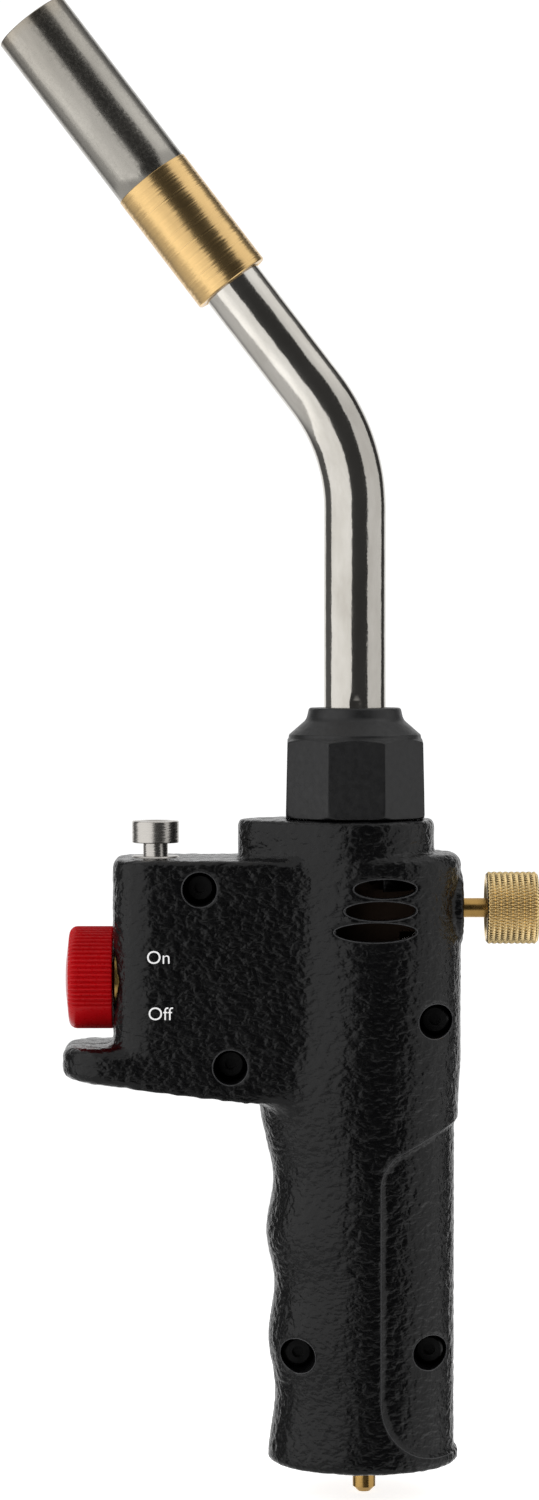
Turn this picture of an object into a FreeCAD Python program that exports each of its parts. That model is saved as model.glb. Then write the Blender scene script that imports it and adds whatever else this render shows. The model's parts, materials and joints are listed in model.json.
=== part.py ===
import FreeCAD, Part
import math
import os
import re
import Sketcher

# Hand-held gas torch with a piezo lighter, in millimetres.
# The origin is on the axis of the cylinder socket, in the plane of the handle's bottom rim.
# +Z runs up the handle, +X points to the rear and the two handle halves meet in the plane Y = 0.

V = FreeCAD.Vector
NO_TURN = FreeCAD.Rotation()
UP_TO_REAR = FreeCAD.Rotation(V(0, 1, 0), 90)
UP_TO_FAR_SIDE = FreeCAD.Rotation(V(1, 0, 0), -90)

SIZES = {
    # room left by cuts and fits
    "cut_margin": 5.0,
    "overcut": 0.5,
    "fit_gap": 0.05,
    "close_gap": 0.03,
    # handle: grip, barrel, block, lip and collar
    "grip_half_width": 16.9,
    "grip_rear": 19.3,
    "grip_section_gap": 6.0,
    "barrel_half_width": 16.8,
    "barrel_rear": 19.8,
    "barrel_foot": 73.0,
    "barrel_taper": 0.6,
    "barrel_taper_height": 10.0,
    "barrel_top": 125.4,
    "crown_base": 83.0,
    "shoulder_radius": 2.4,
    "block_front": 51.4,
    "block_half_width": 13.9,
    "block_corner": 8.0,
    "block_top": 124.3,
    "block_edge": 1.4,
    "blend_radius": 9.0,
    "lip_front": 61.7,
    "lip_top": 86.0,
    "lip_corner": 9.0,
    "lip_edge": 2.0,
    "lip_inset": 0.02,
    "under_reach": 66.7,
    "under_front": 80.25,
    "under_rear": 72.3,
    "under_base": 64.0,
    "collar_top": 132.2,
    "collar_radius": 16.3,
    "collar_nose": 17.0,
    "collar_nose_radius": 9.0,
    "collar_edge": 1.0,
    "collar_root": 1.0,
    "rim_edge": 1.4,
    "side_reach": 100.0,
    "side_width": 40.0,
    # hollow inside the handle
    "hollow_length": 15.9,
    "hollow_width": 14.2,
    "hollow_floor": 18.6,
    "hollow_roof": 121.9,
    "chest_front": 49.0,
    "chest_half_width": 10.4,
    "chest_floor": 79.6,
    "chest_corner": 5.6,
    # recessed rear panel
    "panel_depth": 0.8,
    "panel_left": 3.2,
    "panel_reach": 28.0,
    "panel_cut": 60.0,
    "panel_shoulder": 62.85,
    "panel_slope": 0.5,
    "panel_bottom": 2.7,
    "panel_top_round": 6.0,
    "panel_bottom_round": 12.0,
    # housing screws
    "boss_radius": 4.3,
    "boss_reach": 20.0,
    "screw_head_radius": 2.8,
    "screw_head_height": 2.2,
    "screw_head_edge": 0.4,
    "screw_radius": 1.45,
    "screw_length": 8.2,
    "screw_point": 0.8,
    "pilot_spare": 1.2,
    "screw_seat": 5.0,
    "screw_well_radius": 3.4,
    "screw_well_reach": 30.0,
    "screw_drive_radius": 1.2,
    "screw_drive_depth": 1.3,
    # air vents
    "vent_height": 3.7,
    "vent_reach": 25.0,
    # flame needle and its knob
    "arm_x": -2.0,
    "needle_height": 113.9,
    "needle_boss_radius": 7.2,
    "needle_boss_start": 5.0,
    "needle_boss_end": 20.15,
    "needle_boss_edge": 0.5,
    "needle_radius": 2.0,
    "needle_hole": 2.05,
    "needle_wall_gap": 0.4,
    "needle_tip": -1.2,
    "needle_point": 0.5,
    "needle_bore_end": -3.95,
    "needle_end": 33.5,
    "needle_ring_mean": 2.61,
    "needle_ring_wire": 0.57,
    "needle_ring_x": 9.6,
    "flame_knob_radius": 7.4,
    "flame_knob_start": 24.9,
    "flame_knob_end": 35.5,
    "flame_knob_edge": 0.6,
    "flame_knob_face": 5.8,
    "flame_knob_lip": 6.0,
    "flame_knob_dish": 0.4,
    "packing_start": 6.8,
    "packing_end": 11.0,
    "packing_radius": 3.25,
    "needle_gland_end": 14.8,
    "needle_gland_radius": 3.9,
    # shut-off valve
    "valve_height": 99.6,
    "valve_start": -48.2,
    "valve_nose": -50.1,
    "valve_end": 7.0,
    "valve_half_width": 6.0,
    "rail_half_height": 4.9,
    "rail_end": -18.0,
    "chamber_half_height": 6.6,
    "needle_block_depth": 4.4,
    "needle_block_end": 13.0,
    "tower_front": -8.0,
    "tower_shoulder": 107.6,
    "port_depth": 8.0,
    "gallery_radius": 1.1,
    "gallery_end": 1.6,
    "riser_top": 116.3,
    "spindle_radius": 3.0,
    "spindle_hole": 3.05,
    "spindle_packing_radius": 4.2,
    "spindle_packing_depth": 1.8,
    "spindle_ring_mean": 3.62,
    "spindle_ring_wire": 0.54,
    "spindle_ring_x": -49.25,
    "spindle_end": -10.0,
    "spindle_front": -58.5,
    "port_x": -14.0,
    "port_radius": 1.3,
    "gallery_height": 105.2,
    "nose_radius": 5.0,
    "gland_front": -51.35,
    "gland_radius": 7.4,
    "gland_chamfer": 0.3,
    "gland_gap": 0.1,
    "gland_wall": 1.2,
    "well_radius": 9.6,
    "well_depth": 4.5,
    "knob_radius": 10.5,
    "knob_front": -61.2,
    "knob_back": -51.5,
    "knob_dome": 0.8,
    "knob_edge": 1.6,
    "knob_crown": 3.8,
    "knob_recess": 2.7,
    "knob_recess_floor": -59.5,
    "knob_screw_head": 2.6,
    "knob_screw_face": -61.0,
    "knob_screw_edge": 0.4,
    "knob_drive_radius": 0.8,
    "knob_drive_floor": -60.0,
    "knob_screw_shank": 1.25,
    "knob_screw_end": -53.0,
    "knob_screw_gap": 0.2,
    # lighter
    "button_x": -42.9,
    "button_top": 131.8,
    "button_under": 127.3,
    "button_radius": 4.8,
    "button_edge": 0.25,
    "stem_radius": 2.55,
    "button_flange_top": 121.4,
    "button_foot": 120.0,
    "button_flange_radius": 3.6,
    "bush_hole": 2.6,
    "bush_radius": 4.0,
    "bush_rim_radius": 4.9,
    "bush_top": 124.6,
    "bush_edge": 0.2,
    "piezo_base": 104.8,
    "piezo_top": 117.0,
    "piezo_half_length": 4.9,
    "piezo_half_width": 4.4,
    "piezo_corner": 1.2,
    "piezo_bore": 3.75,
    "piezo_bore_floor": 109.6,
    "plunger_radius": 1.6,
    "plunger_bore": 1.65,
    "plunger_foot": 109.2,
    "plunger_bore_floor": 106.2,
    "button_spring_mean": 2.9,
    "button_spring_wire": 0.3,
    "button_spring_pitch": 1.6,
    "button_spring_length": 9.6,
    # cylinder socket and gas inlet
    "socket_base": 0.6,
    "socket_bore": 12.05,
    "socket_radius": 14.5,
    "socket_top": 17.5,
    "socket_floor": 14.5,
    "socket_chamfer": 0.7,
    "socket_neck_radius": 7.5,
    "socket_neck_top": 30.0,
    "inlet_bore": 3.6,
    "probe_tip": -6.5,
    "probe_radius": 2.35,
    "probe_chamfer": 1.0,
    "probe_gas_way": 0.8,
    "probe_shoulder": 6.0,
    "probe_shoulder_radius": 2.8,
    "probe_flange_base": 8.5,
    "probe_flange_radius": 4.8,
    "probe_end": 27.0,
    "inlet_seal_height": 7.45,
    "inlet_seal_mean": 3.8,
    "inlet_seal_wire": 1.0,
    "filter_top": 29.9,
    # pressure regulator
    "regulator_x": 3.0,
    "regulator_radius": 11.0,
    "regulator_joint": 43.0,
    "chamber_floor": 36.2,
    "chamber_radius": 9.0,
    "poppet_bore": 2.6,
    "poppet_bore_floor": 31.6,
    "poppet_seat": 35.0,
    "poppet_seat_hole": 1.2,
    "poppet_radius": 2.4,
    "poppet_base": 33.6,
    "poppet_face": 34.55,
    "poppet_stem": 0.8,
    "poppet_stem_top": 42.5,
    "regulator_inlet": 1.0,
    "regulator_inlet_top": 33.5,
    "outlet_x": -11.0,
    "outlet_radius": 4.0,
    "ear_base": 32.0,
    "ear_height": 11.0,
    "ear_root": 1.0,
    "passage_radius": 1.2,
    "passage_length": 7.0,
    "passage_height": 37.9,
    "diaphragm_top": 43.8,
    "plate_top": 45.2,
    "plate_radius": 5.6,
    "cap_flange_top": 46.2,
    "cap_radius": 7.8,
    "cap_hollow": 6.2,
    "cap_ceiling": 56.0,
    "cap_top": 58.4,
    "regulator_screw_radius": 2.5,
    "regulator_screw_top": 61.0,
    "regulator_spring_mean": 4.2,
    "regulator_spring_wire": 0.5,
    "regulator_spring_pitch": 2.0,
    "regulator_spring_length": 9.6,
    # tube from the regulator to the valve
    "feed_radius": 2.0,
    "feed_bore": 1.3,
    "feed_start": 38.5,
    "feed_rise": 28.0,
    "feed_bend": 10.0,
    "feed_turn": 14.0,
    "feed_end": 96.2,
    # jet and mixing tube
    "jet_thread_radius": 2.4,
    "jet_base": 116.2,
    "jet_seat": 118.0,
    "jet_hex_radius": 2.9,
    "jet_hex_top": 120.2,
    "jet_hex_edge": 0.3,
    "jet_tip_radius": 1.6,
    "jet_top": 121.5,
    "jet_bore": 0.9,
    "jet_orifice": 0.25,
    "jet_tip_depth": 0.8,
    "jet_cone": 0.4,
    "screen_bore": 8.4,
    "screen_base": 118.1,
    "screen_hole_radius": 1.1,
    "screen_holes": 16,
    "mixer_base": 122.0,
    "mixer_mouth": 7.6,
    "mixer_radius": 8.9,
    "mixer_flange_base": 126.0,
    "mixer_flange_top": 129.0,
    "mixer_flange_radius": 11.4,
    "mixer_throat": 4.3,
    "mixer_throat_top": 130.0,
    "mixer_top": 136.0,
    # nut over the burner's swivel
    "nut_base": 132.5,
    "nut_flats_base": 28.3,
    "nut_taper": 1.25,
    "nut_shoulder": 148.7,
    "nut_root": 146.7,
    "nut_root_radius": 12.9,
    "nut_disc_radius": 13.5,
    "nut_disc_top": 149.5,
    "nut_cone_radius": 9.9,
    "nut_cone_top": 152.7,
    "nut_neck_radius": 9.4,
    "nut_top": 155.0,
    "nut_flare_radius": 2.2,
    "nut_disc_edge": 1.2,
    "nut_neck_edge": 0.7,
    "nut_corner_radius": 13.65,
    "nut_corner_reach": 16.5,
    "nut_corner_base": 147.1,
    "nut_corner_roof": 149.7,
    "nut_bore": 8.95,
    "nut_bore_top": 141.4,
    "nut_hole": 6.42,
    "seal_groove_base": 142.4,
    "seal_groove_top": 144.3,
    "seal_groove_radius": 8.2,
    "swivel_seal_mean": 7.3,
    "swivel_seal_wire": 0.88,
    # burner arm
    "tube_radius": 6.35,
    "tube_bore": 5.35,
    "tube_foot": 136.3,
    "elbow_height": 208.9,
    "elbow_radius": 39.0,
    "arm_turn": 37.5,
    "tube_end": 61.0,
    "ferrule_base": 137.0,
    "ferrule_top": 141.0,
    "ferrule_radius": 8.6,
    "sleeve_start": 41.3,
    "sleeve_radius": 8.18,
    "sleeve_throat": 5.3,
    "sleeve_joint": 68.2,
    "sleeve_spigot_end": 73.0,
    "sleeve_edge": 0.4,
    "flame_tube_radius": 8.0,
    "flame_tube_bore": 7.2,
    "flame_tube_edge": 0.2,
    "flame_tube_end": 108.5,
    "holder_start": 75.0,
    "holder_end": 79.0,
    "holder_ring": 6.2,
    "holder_hub": 1.4,
    "holder_blade": 0.9,
    "holder_blade_reach": 6.5,
    "holder_blade_count": 8,
    # ignition lead and electrode
    "lead_offset": 3.3,
    "lead_radius": 0.6,
    "lower_lead_start": -38.0,
    "lower_lead_height": 110.5,
    "lower_lead_turn_x": -14.5,
    "lower_lead_cross": 120.3,
    "lower_lead_bend": 2.4,
    "lower_lead_end": 135.0,
    "upper_lead_foot": 136.6,
    "upper_lead_end": 60.0,
    "insulator_radius": 1.5,
    "insulator_start": 54.0,
    "insulator_end": 74.0,
    "electrode_radius": 0.55,
    "electrode_end": 90.0,
    "contact_top": 135.9,
    "contact_radius": 1.0,
}

# housing screw places, as X and Z of each axis
SCREWS = ((-33.6, 118.5), (-27.4, 82.5), (14.2, 91.6), (-13.7, 23.6), (13.1, 24.1))
# finger waves of the grip, as the height of each crest or hollow and the front edge there
FRONT_WAVES = (
    (-1.0, 20.0), (14.7, 18.4), (25.8, 19.8), (36.6, 18.55),
    (47.9, 20.2), (58.2, 18.8), (74.0, 21.6), (90.0, 21.6),
)
# air vents, as X, Z and length of each ellipse
VENTS = ((3.8, 118.75, 12.5), (2.9, 114.3, 14.4), (1.9, 110.0, 16.5))

NUT_SIDES = 8

doc = FreeCAD.newDocument("GasTorch")
sheet = doc.addObject("Spreadsheet::Sheet", "Sizes")
for row, (name, number) in enumerate(SIZES.items(), start=1):
    sheet.set(f"A{row}", name)
    sheet.set(f"B{row}", str(number))
    sheet.setAlias(f"B{row}", name)
doc.recompute()

parts = []


def bound(expression):
    """The expression with each size's name made a reference to the sheet."""
    return re.sub(r"\b[a-z]\w*\b(?!\()", lambda found: "Sizes." + found.group(), str(expression))


def value(expression):
    return float(sheet.evalExpression(str(expression)))


def keep(feature, label):
    """Mark a finished sub-part, which gets a file of its own."""
    feature.Label = label
    parts.append(feature)
    return feature


def place(feature, x="0", y="0", z="0", turn=NO_TURN):
    feature.Placement = FreeCAD.Placement(V(value(x), value(y), value(z)), turn)
    for axis, expression in zip("xyz", (x, y, z)):
        if expression != "0":
            feature.setExpression(f".Placement.Base.{axis}", bound(expression))
    return feature


def plane_sketch(body, name, role):
    sketch = body.newObject("Sketcher::SketchObject", name)
    origin_plane = [plane for plane in body.Origin.OriginFeatures if plane.Role == role]
    sketch.AttachmentSupport = (origin_plane[0], "")
    sketch.MapMode = "FlatFace"
    return sketch


def pin_point(sketch, line, end, x, y):
    """Fix one end of a sketch line at a pair of expressions."""
    for kind, expression in (("DistanceX", x), ("DistanceY", y)):
        number = sketch.addConstraint(Sketcher.Constraint(kind, line, end, value(expression)))
        if re.search(r"[a-z]", expression):
            sketch.setExpression(f"Constraints[{number}]", bound(expression))


def outline_sketch(body, name, role, outline):
    """Closed sketch with straight sides; the outline has one corner per line, as 'x, y'."""
    sketch = plane_sketch(body, name, role)
    corners = [line.split(",") for line in outline.strip().splitlines()]
    corners = [(x.strip(), y.strip()) for x, y in corners]
    points = [V(value(x), value(y), 0) for x, y in corners]
    for index, point in enumerate(points):
        sketch.addGeometry(Part.LineSegment(point, points[(index + 1) % len(points)]))
    for index, (x, y) in enumerate(corners):
        following = (index + 1) % len(points)
        sketch.addConstraint(Sketcher.Constraint("Coincident", index, 2, following, 1))
        pin_point(sketch, index, 1, x, y)
    return sketch


def revolve(body, name, outline):
    """Add a turned feature about the body's Z axis; the outline is 'radius, height'."""
    turned_feature = body.newObject("PartDesign::Revolution", name)
    turned_feature.Profile = outline_sketch(body, name + "_outline", "XZ_Plane", outline)
    turned_feature.ReferenceAxis = (turned_feature.Profile[0], ["V_Axis"])
    turned_feature.Angle = 360
    return turned_feature


def turned(label, outline, x="0", y="0", z="0", turn=NO_TURN):
    """A turned sub-part: a body of revolution about its own Z axis."""
    body = doc.addObject("PartDesign::Body", label)
    revolve(body, label + "_turning", outline)
    place(body, x, y, z, turn)
    doc.recompute()
    return body


def slab(name, role, outline, thickness):
    """A plate of the given outline, centred on its own sketch plane."""
    body = doc.addObject("PartDesign::Body", name)
    pad = body.newObject("PartDesign::Pad", name + "_pad")
    pad.Profile = outline_sketch(body, name + "_outline", role, outline)
    pad.Midplane = True
    pad.setExpression("Length", bound(thickness))
    doc.recompute()
    return body


def cylinder(name, radius, start, length, x="0", y="0", z="0", turn=NO_TURN):
    """A cylinder that starts at the given distance along its own axis."""
    solid = doc.addObject("Part::Cylinder", name)
    solid.setExpression("Radius", bound(radius))
    solid.setExpression("Height", bound(length))
    offset = turn.multVec(V(0, 0, 1))
    along = {"x": offset.x, "y": offset.y, "z": offset.z}
    base = {"x": x, "y": y, "z": z}
    for axis, share in along.items():
        if abs(share) > 0.5:
            base[axis] = f"{base[axis]} + {round(share)} * ({start})"
    return place(solid, base["x"], base["y"], base["z"], turn)


def ellipse(name, half_length, half_width, x="0", z="0"):
    curve = doc.addObject("Part::Ellipse", name)
    curve.setExpression("MajorRadius", bound(half_length))
    curve.setExpression("MinorRadius", bound(half_width))
    return place(curve, x, "0", z)


def raised(name, outline, direction, length):
    """An outline drawn out into a solid."""
    solid = doc.addObject("Part::Extrusion", name)
    solid.Base = outline
    solid.DirMode = "Custom"
    solid.Dir = direction
    solid.setExpression("LengthFwd", bound(length))
    solid.Solid = True
    return solid


def fuse(name, solids):
    joined = doc.addObject("Part::MultiFuse", name)
    joined.Shapes = solids
    joined.Refine = False
    doc.recompute()
    return joined


def cut(name, base, tool):
    remainder = doc.addObject("Part::Cut", name)
    remainder.Base = base
    remainder.Tool = tool
    remainder.Refine = False
    doc.recompute()
    return remainder


def common(name, base, tool):
    overlap = doc.addObject("Part::Common", name)
    overlap.Base = base
    overlap.Tool = tool
    overlap.Refine = False
    doc.recompute()
    return overlap


def rounded(name, base, radius, choose):
    """Round every edge of the base for which choose(edge) is true."""
    doc.recompute()
    numbers = [index for index, edge in enumerate(base.Shape.Edges, start=1) if choose(edge)]
    feature = doc.addObject("Part::Fillet", name)
    feature.Base = base
    feature.Edges = [(number, value(radius), value(radius)) for number in numbers]
    doc.recompute()
    return feature


def upright(edge):
    ends = edge.BoundBox
    return ends.XLength < 0.01 and ends.YLength < 0.01 and ends.ZLength > 1


def level(edge, height):
    ends = edge.BoundBox
    return ends.ZLength < 0.01 and abs(ends.ZMin - height) < 0.01


def crosses(edge, x):
    """Whether the edge runs straight across the handle at that distance from the axis."""
    ends = edge.BoundBox
    return ends.XLength < 0.01 and ends.ZLength < 0.01 and abs(ends.XMin - x) < 0.01


def route_sketch(body, name, start, heading, runs):
    """Path of straight runs joined by tangent arcs.

    runs is a list of (length, turn, radius): a run's length, then the turn after it, to the left
    when positive, and its radius. The last run has no turn.
    """
    path = plane_sketch(body, name, "XZ_Plane")
    point = V(value(start[0]), value(start[1]), 0)
    angle = math.radians(heading)
    before = None
    for length, turn, radius in runs:
        ahead = V(math.cos(angle), math.sin(angle), 0)
        following = point + ahead * value(length)
        line = path.addGeometry(Part.LineSegment(point, following))
        if before is None:
            pin_point(path, line, 1, *start)
        else:
            path.addConstraint(Sketcher.Constraint("Tangent", before, before_end, line, 1))
        number = path.addConstraint(Sketcher.Constraint("Distance", line, value(length)))
        path.setExpression(f"Constraints[{number}]", bound(length))
        path.addConstraint(Sketcher.Constraint("Angle", line, angle))
        point = following
        if not turn:
            break
        bend = value(radius)
        side = 1 if value(turn) > 0 else -1
        sweep = math.radians(value(turn))
        left = V(-ahead.y, ahead.x, 0) * side
        centre = point + left * bend
        first = math.atan2(point.y - centre.y, point.x - centre.x)
        circle = Part.Circle(centre, V(0, 0, 1), bend)
        low, high = sorted((first, first + sweep))
        arc = path.addGeometry(Part.ArcOfCircle(circle, low, high))
        near_end, far_end = (1, 2) if side > 0 else (2, 1)
        path.addConstraint(Sketcher.Constraint("Tangent", line, 2, arc, near_end))
        number = path.addConstraint(Sketcher.Constraint("Radius", arc, bend))
        path.setExpression(f"Constraints[{number}]", bound(radius))
        angle += sweep
        point = centre + V(math.cos(first + sweep), math.sin(first + sweep), 0) * bend
        before, before_end = arc, far_end
    return path


def bent_tube(label, start, heading, runs, radius, bore=None):
    """A round tube or wire along a route in the plane Y = 0."""
    body = doc.addObject("PartDesign::Body", label)
    route = route_sketch(body, label + "_route", start, heading, runs)
    section = plane_sketch(body, label + "_section", "XY_Plane" if heading == 90 else "YZ_Plane")
    if heading == 90:
        section.AttachmentOffset = FreeCAD.Placement(V(value(start[0]), 0, value(start[1])), NO_TURN)
    else:
        section.AttachmentOffset = FreeCAD.Placement(V(0, value(start[1]), value(start[0])), NO_TURN)
    for size in (radius, bore):
        if size:
            circle = section.addGeometry(Part.Circle(V(0, 0, 0), V(0, 0, 1), value(size)))
            section.addConstraint(Sketcher.Constraint("Coincident", circle, 3, -1, 1))
            number = section.addConstraint(Sketcher.Constraint("Radius", circle, value(size)))
            section.setExpression(f"Constraints[{number}]", bound(size))
    doc.recompute()
    pipe = body.newObject("PartDesign::AdditivePipe", label + "_pipe")
    pipe.Profile = section
    pipe.Spine = (route, [f"Edge{index}" for index in range(1, 2 * len(runs))])
    doc.recompute()
    return body


def ring(label, mean, wire, x="0", y="0", z="0", turn=NO_TURN):
    """A rubber ring of round section."""
    torus = doc.addObject("Part::Torus", label)
    torus.setExpression("Radius1", bound(mean))
    torus.setExpression("Radius2", bound(wire))
    return keep(place(torus, x, y, z, turn), label)


def coil_spring(label, mean, wire, pitch, length, x, z):
    """A round-wire compression spring standing on the height z."""
    helix = Part.makeHelix(value(pitch), value(length), value(mean))
    section = Part.Wire(Part.makeCircle(value(wire), V(value(mean), 0, 0), V(0, 1, 0)))
    spring = doc.addObject("Part::Feature", label)
    spring.Shape = Part.Wire(helix.Edges).makePipeShell([section], True, True)
    place(spring, x, "0", z)
    return keep(spring, label)


# ---------------------------------------------------------------- handle

def front_edge(height):
    """Distance of the grip's front edge from the socket's axis, eased from wave to wave."""
    for (low, low_edge), (high, high_edge) in zip(FRONT_WAVES, FRONT_WAVES[1:]):
        if height <= high:
            ease = (1 - math.cos(math.pi * (height - low) / (high - low))) / 2
            return low_edge + (high_edge - low_edge) * ease
    return FRONT_WAVES[-1][1]


def grip_loft(name, inset):
    """The grip as a loft of ellipses, drawn in by the inset at the rear and the sides."""
    sections = []
    for index in range(15):
        height = index * value("grip_section_gap")
        front = round(front_edge(height), 3)
        section = ellipse(f"{name}Section{index}", f"({front} + grip_rear - {inset}) / 2",
                          f"grip_half_width - {inset}", f"(grip_rear - {inset} - {front}) / 2",
                          f"{index} * grip_section_gap")
        sections.append(section)
    loft = doc.addObject("Part::Loft", name)
    loft.Sections = sections
    loft.Solid = True
    return loft


def handle_form():
    """The outside of the whole handle, before it is hollowed and split."""
    grip = grip_loft("Grip", "0")

    barrel_plan = ellipse("BarrelPlan", "barrel_rear", "barrel_half_width", "0", "barrel_foot")
    barrel = raised("Barrel", barrel_plan, V(0, 0, 1), "block_top - barrel_foot")
    block = slab("Block", "XZ_Plane", """
        -block_front, barrel_foot
        0, barrel_foot
        0, block_top
        -block_front, block_top
        """, "2 * block_half_width")
    torso = rounded("Torso", fuse("TorsoRaw", [barrel, block]), "block_corner",
                    lambda edge: upright(edge) and edge.BoundBox.XMax < value("block_corner - block_front"))
    torso = rounded("TorsoBlended", torso, "blend_radius",
                    lambda edge: upright(edge) and value("-barrel_rear") < edge.BoundBox.XMax < 0)
    torso = rounded("TorsoEdged", torso, "block_edge",
                    lambda edge: level(edge, value("block_top"))
                    and edge.BoundBox.XMin < value("-block_half_width"))

    crown_plan = ellipse("CrownPlan", "barrel_rear", "barrel_half_width", "0", "crown_base")
    crown = raised("CrownRaw", crown_plan, V(0, 0, 1), "barrel_top - crown_base")
    crown = rounded("Crown", crown, "shoulder_radius",
                    lambda edge: level(edge, value("barrel_top")))

    lip = slab("LipRaw", "XZ_Plane", """
        -lip_front, barrel_foot
        0, barrel_foot
        0, lip_top
        -lip_front, lip_top
        """, "2 * block_half_width - 2 * lip_inset")
    lip = rounded("LipPlan", lip, "lip_corner",
                  lambda edge: upright(edge) and edge.BoundBox.XMax < value("lip_corner - lip_front"))
    under = slab("Under", "XZ_Plane", """
        -under_reach, under_front
        0, under_rear
        0, under_base
        -under_reach, under_base
        """, "4 * block_half_width")
    lip = rounded("Lip", cut("LipCut", lip, under), "lip_edge",
                  lambda edge: edge.BoundBox.XMax < value("-block_corner") and not upright(edge))
    trunk = fuse("Trunk", [cut("TorsoCut", torso, under), lip])

    foot_sections = [
        ellipse("TaperFoot", "barrel_rear - barrel_taper", "barrel_half_width", z="barrel_foot - overcut"),
        ellipse("TaperTop", "barrel_rear", "barrel_half_width",
                z="barrel_foot + barrel_taper_height"),
    ]
    kept = doc.addObject("Part::Loft", "TaperKept")
    kept.Sections = foot_sections
    kept.Solid = True
    zone = slab_block("TaperZone", "-arm_x", "-barrel_rear", "2 * barrel_rear", "2 * barrel_rear",
                      "barrel_foot - overcut", "barrel_taper_height + overcut")
    trunk = cut("TrunkTapered", trunk, cut("TaperWaste", zone, kept))

    collar_top = value("collar_top")
    foot = "hollow_roof - collar_root"
    neck = cylinder("CollarRound", "collar_radius", foot, "collar_top - hollow_roof + collar_root",
                    x="arm_x")
    nose = cylinder("CollarNose", "collar_nose_radius", foot, "collar_top - hollow_roof + collar_root",
                    x="-collar_nose")
    web = doc.addObject("Part::Feature", "CollarWeb")
    web.Shape = collar_web(value(foot), collar_top)
    collar = rounded("Collar", fuse("CollarRaw", [neck, nose, web]), "collar_edge",
                     lambda edge: level(edge, collar_top))
    needle_boss = cylinder("NeedleBoss", "needle_boss_radius", "needle_boss_start",
                           "needle_boss_end - needle_boss_start",
                           z="needle_height", turn=UP_TO_REAR)
    needle_boss = rounded("NeedleBossEdged", needle_boss, "needle_boss_edge",
                          lambda edge: edge.BoundBox.XMin > value("needle_boss_end - fit_gap"))
    return fuse("HandleForm", [grip, trunk, crown, collar, needle_boss])


def collar_web(low, high):
    """Filling between the collar's two rounds, bounded by their outer tangents."""
    big, small = value("collar_radius"), value("collar_nose_radius")
    right, left = value("arm_x"), -value("collar_nose")
    lean = math.asin((big - small) / (right - left))
    offset = V(-math.sin(lean), math.cos(lean), 0)
    corners = [V(right, 0, low) + offset * big, V(left, 0, low) + offset * small]
    mirrored = [V(corner.x, -corner.y, low) for corner in reversed(corners)]
    outline = Part.makePolygon(corners + mirrored + corners[:1])
    return Part.Face(outline).extrude(V(0, 0, high - low))


def handle_hollow():
    """The space inside the handle, with the screw bosses left standing."""
    plan = ellipse("HollowPlan", "hollow_length", "hollow_width", "0", "hollow_floor")
    grip_space = raised("GripSpace", plan, V(0, 0, 1), "hollow_roof - hollow_floor")
    chest = slab("Chest", "XZ_Plane", """
        -chest_front, chest_floor
        0, chest_floor
        0, hollow_roof
        -chest_front, hollow_roof
        """, "2 * chest_half_width")
    chest = rounded("ChestRounded", chest, "chest_corner",
                    lambda edge: upright(edge)
                    and edge.BoundBox.XMax < value("block_corner - block_front"))
    bosses = [cylinder(f"Boss{index}", "boss_radius", "-boss_reach", "2 * boss_reach", x=str(x),
                       z=str(z), turn=UP_TO_FAR_SIDE) for index, (x, z) in enumerate(SCREWS)]
    return cut("Hollow", fuse("HollowRaw", [grip_space, chest]), fuse("Bosses", bosses))


def panel_recess():
    """The skin taken off both sides and the rear of the grip inside the panel's outline."""
    core = grip_loft("PanelCore", "panel_depth")
    area = slab("PanelArea", "XZ_Plane", """
        panel_left, panel_bottom
        panel_left + panel_reach, panel_bottom
        panel_left + panel_reach, panel_shoulder + panel_reach * panel_slope
        panel_left, panel_shoulder
        """, "panel_cut")
    area = rounded("PanelTopRound", area, "panel_top_round",
                   lambda edge: crosses(edge, value("panel_left"))
                   and edge.BoundBox.ZMin > value("panel_cut"))
    area = rounded("PanelBottomRound", area, "panel_bottom_round",
                   lambda edge: crosses(edge, value("panel_left"))
                   and edge.BoundBox.ZMax < value("cut_margin"))
    return cut("PanelRecess", area, core)


def handle_openings():
    """Holes through the handle's wall."""
    tools = [
        cylinder("SocketHole", "socket_radius + fit_gap", "-cut_margin",
                 "hollow_floor + overcut + cut_margin"),
        cylinder("NeedleHole", "needle_radius + needle_wall_gap", "2 * cut_margin", "4 * cut_margin",
                 z="needle_height", turn=UP_TO_REAR),
        cylinder("KnobWell", "well_radius", "-block_front - cut_margin", "cut_margin + well_depth",
                 z="valve_height", turn=UP_TO_REAR),
        cylinder("BushHole", "bush_radius + close_gap", "hollow_roof - overcut",
                 "block_top - hollow_roof + cut_margin", x="button_x"),
        cylinder("MixerHole", "mixer_radius + fit_gap", "hollow_roof - overcut",
                 "collar_top - hollow_roof + cut_margin", x="arm_x"),
        cylinder("MixerGroove", "mixer_flange_radius + fit_gap", "mixer_flange_base - fit_gap",
                 "mixer_flange_top - mixer_flange_base + 2 * fit_gap", x="arm_x"),
    ]
    for index, (x, z, length) in enumerate(VENTS):
        curve = doc.addObject("Part::Ellipse", f"VentCurve{index}")
        curve.MajorRadius = length / 2
        curve.setExpression("MinorRadius", bound("vent_height / 2"))
        curve.Placement = FreeCAD.Placement(V(x, -value("vent_reach"), z), UP_TO_FAR_SIDE)
        tools.append(raised(f"Vent{index}", curve, V(0, 1, 0), "2 * vent_reach"))
    for index, (x, z) in enumerate(SCREWS):
        well = cylinder(f"ScrewWell{index}", "screw_well_radius", "-screw_well_reach",
                        "screw_well_reach - screw_seat", x=str(x), z=str(z), turn=UP_TO_FAR_SIDE)
        pilot = cylinder(f"ScrewPilot{index}", "screw_radius + close_gap", "-screw_seat - overcut",
                         "screw_seat + overcut + screw_length + pilot_spare", x=str(x), z=str(z),
                         turn=UP_TO_FAR_SIDE)
        tools += [well, pilot]
    return fuse("Openings", tools)


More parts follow.
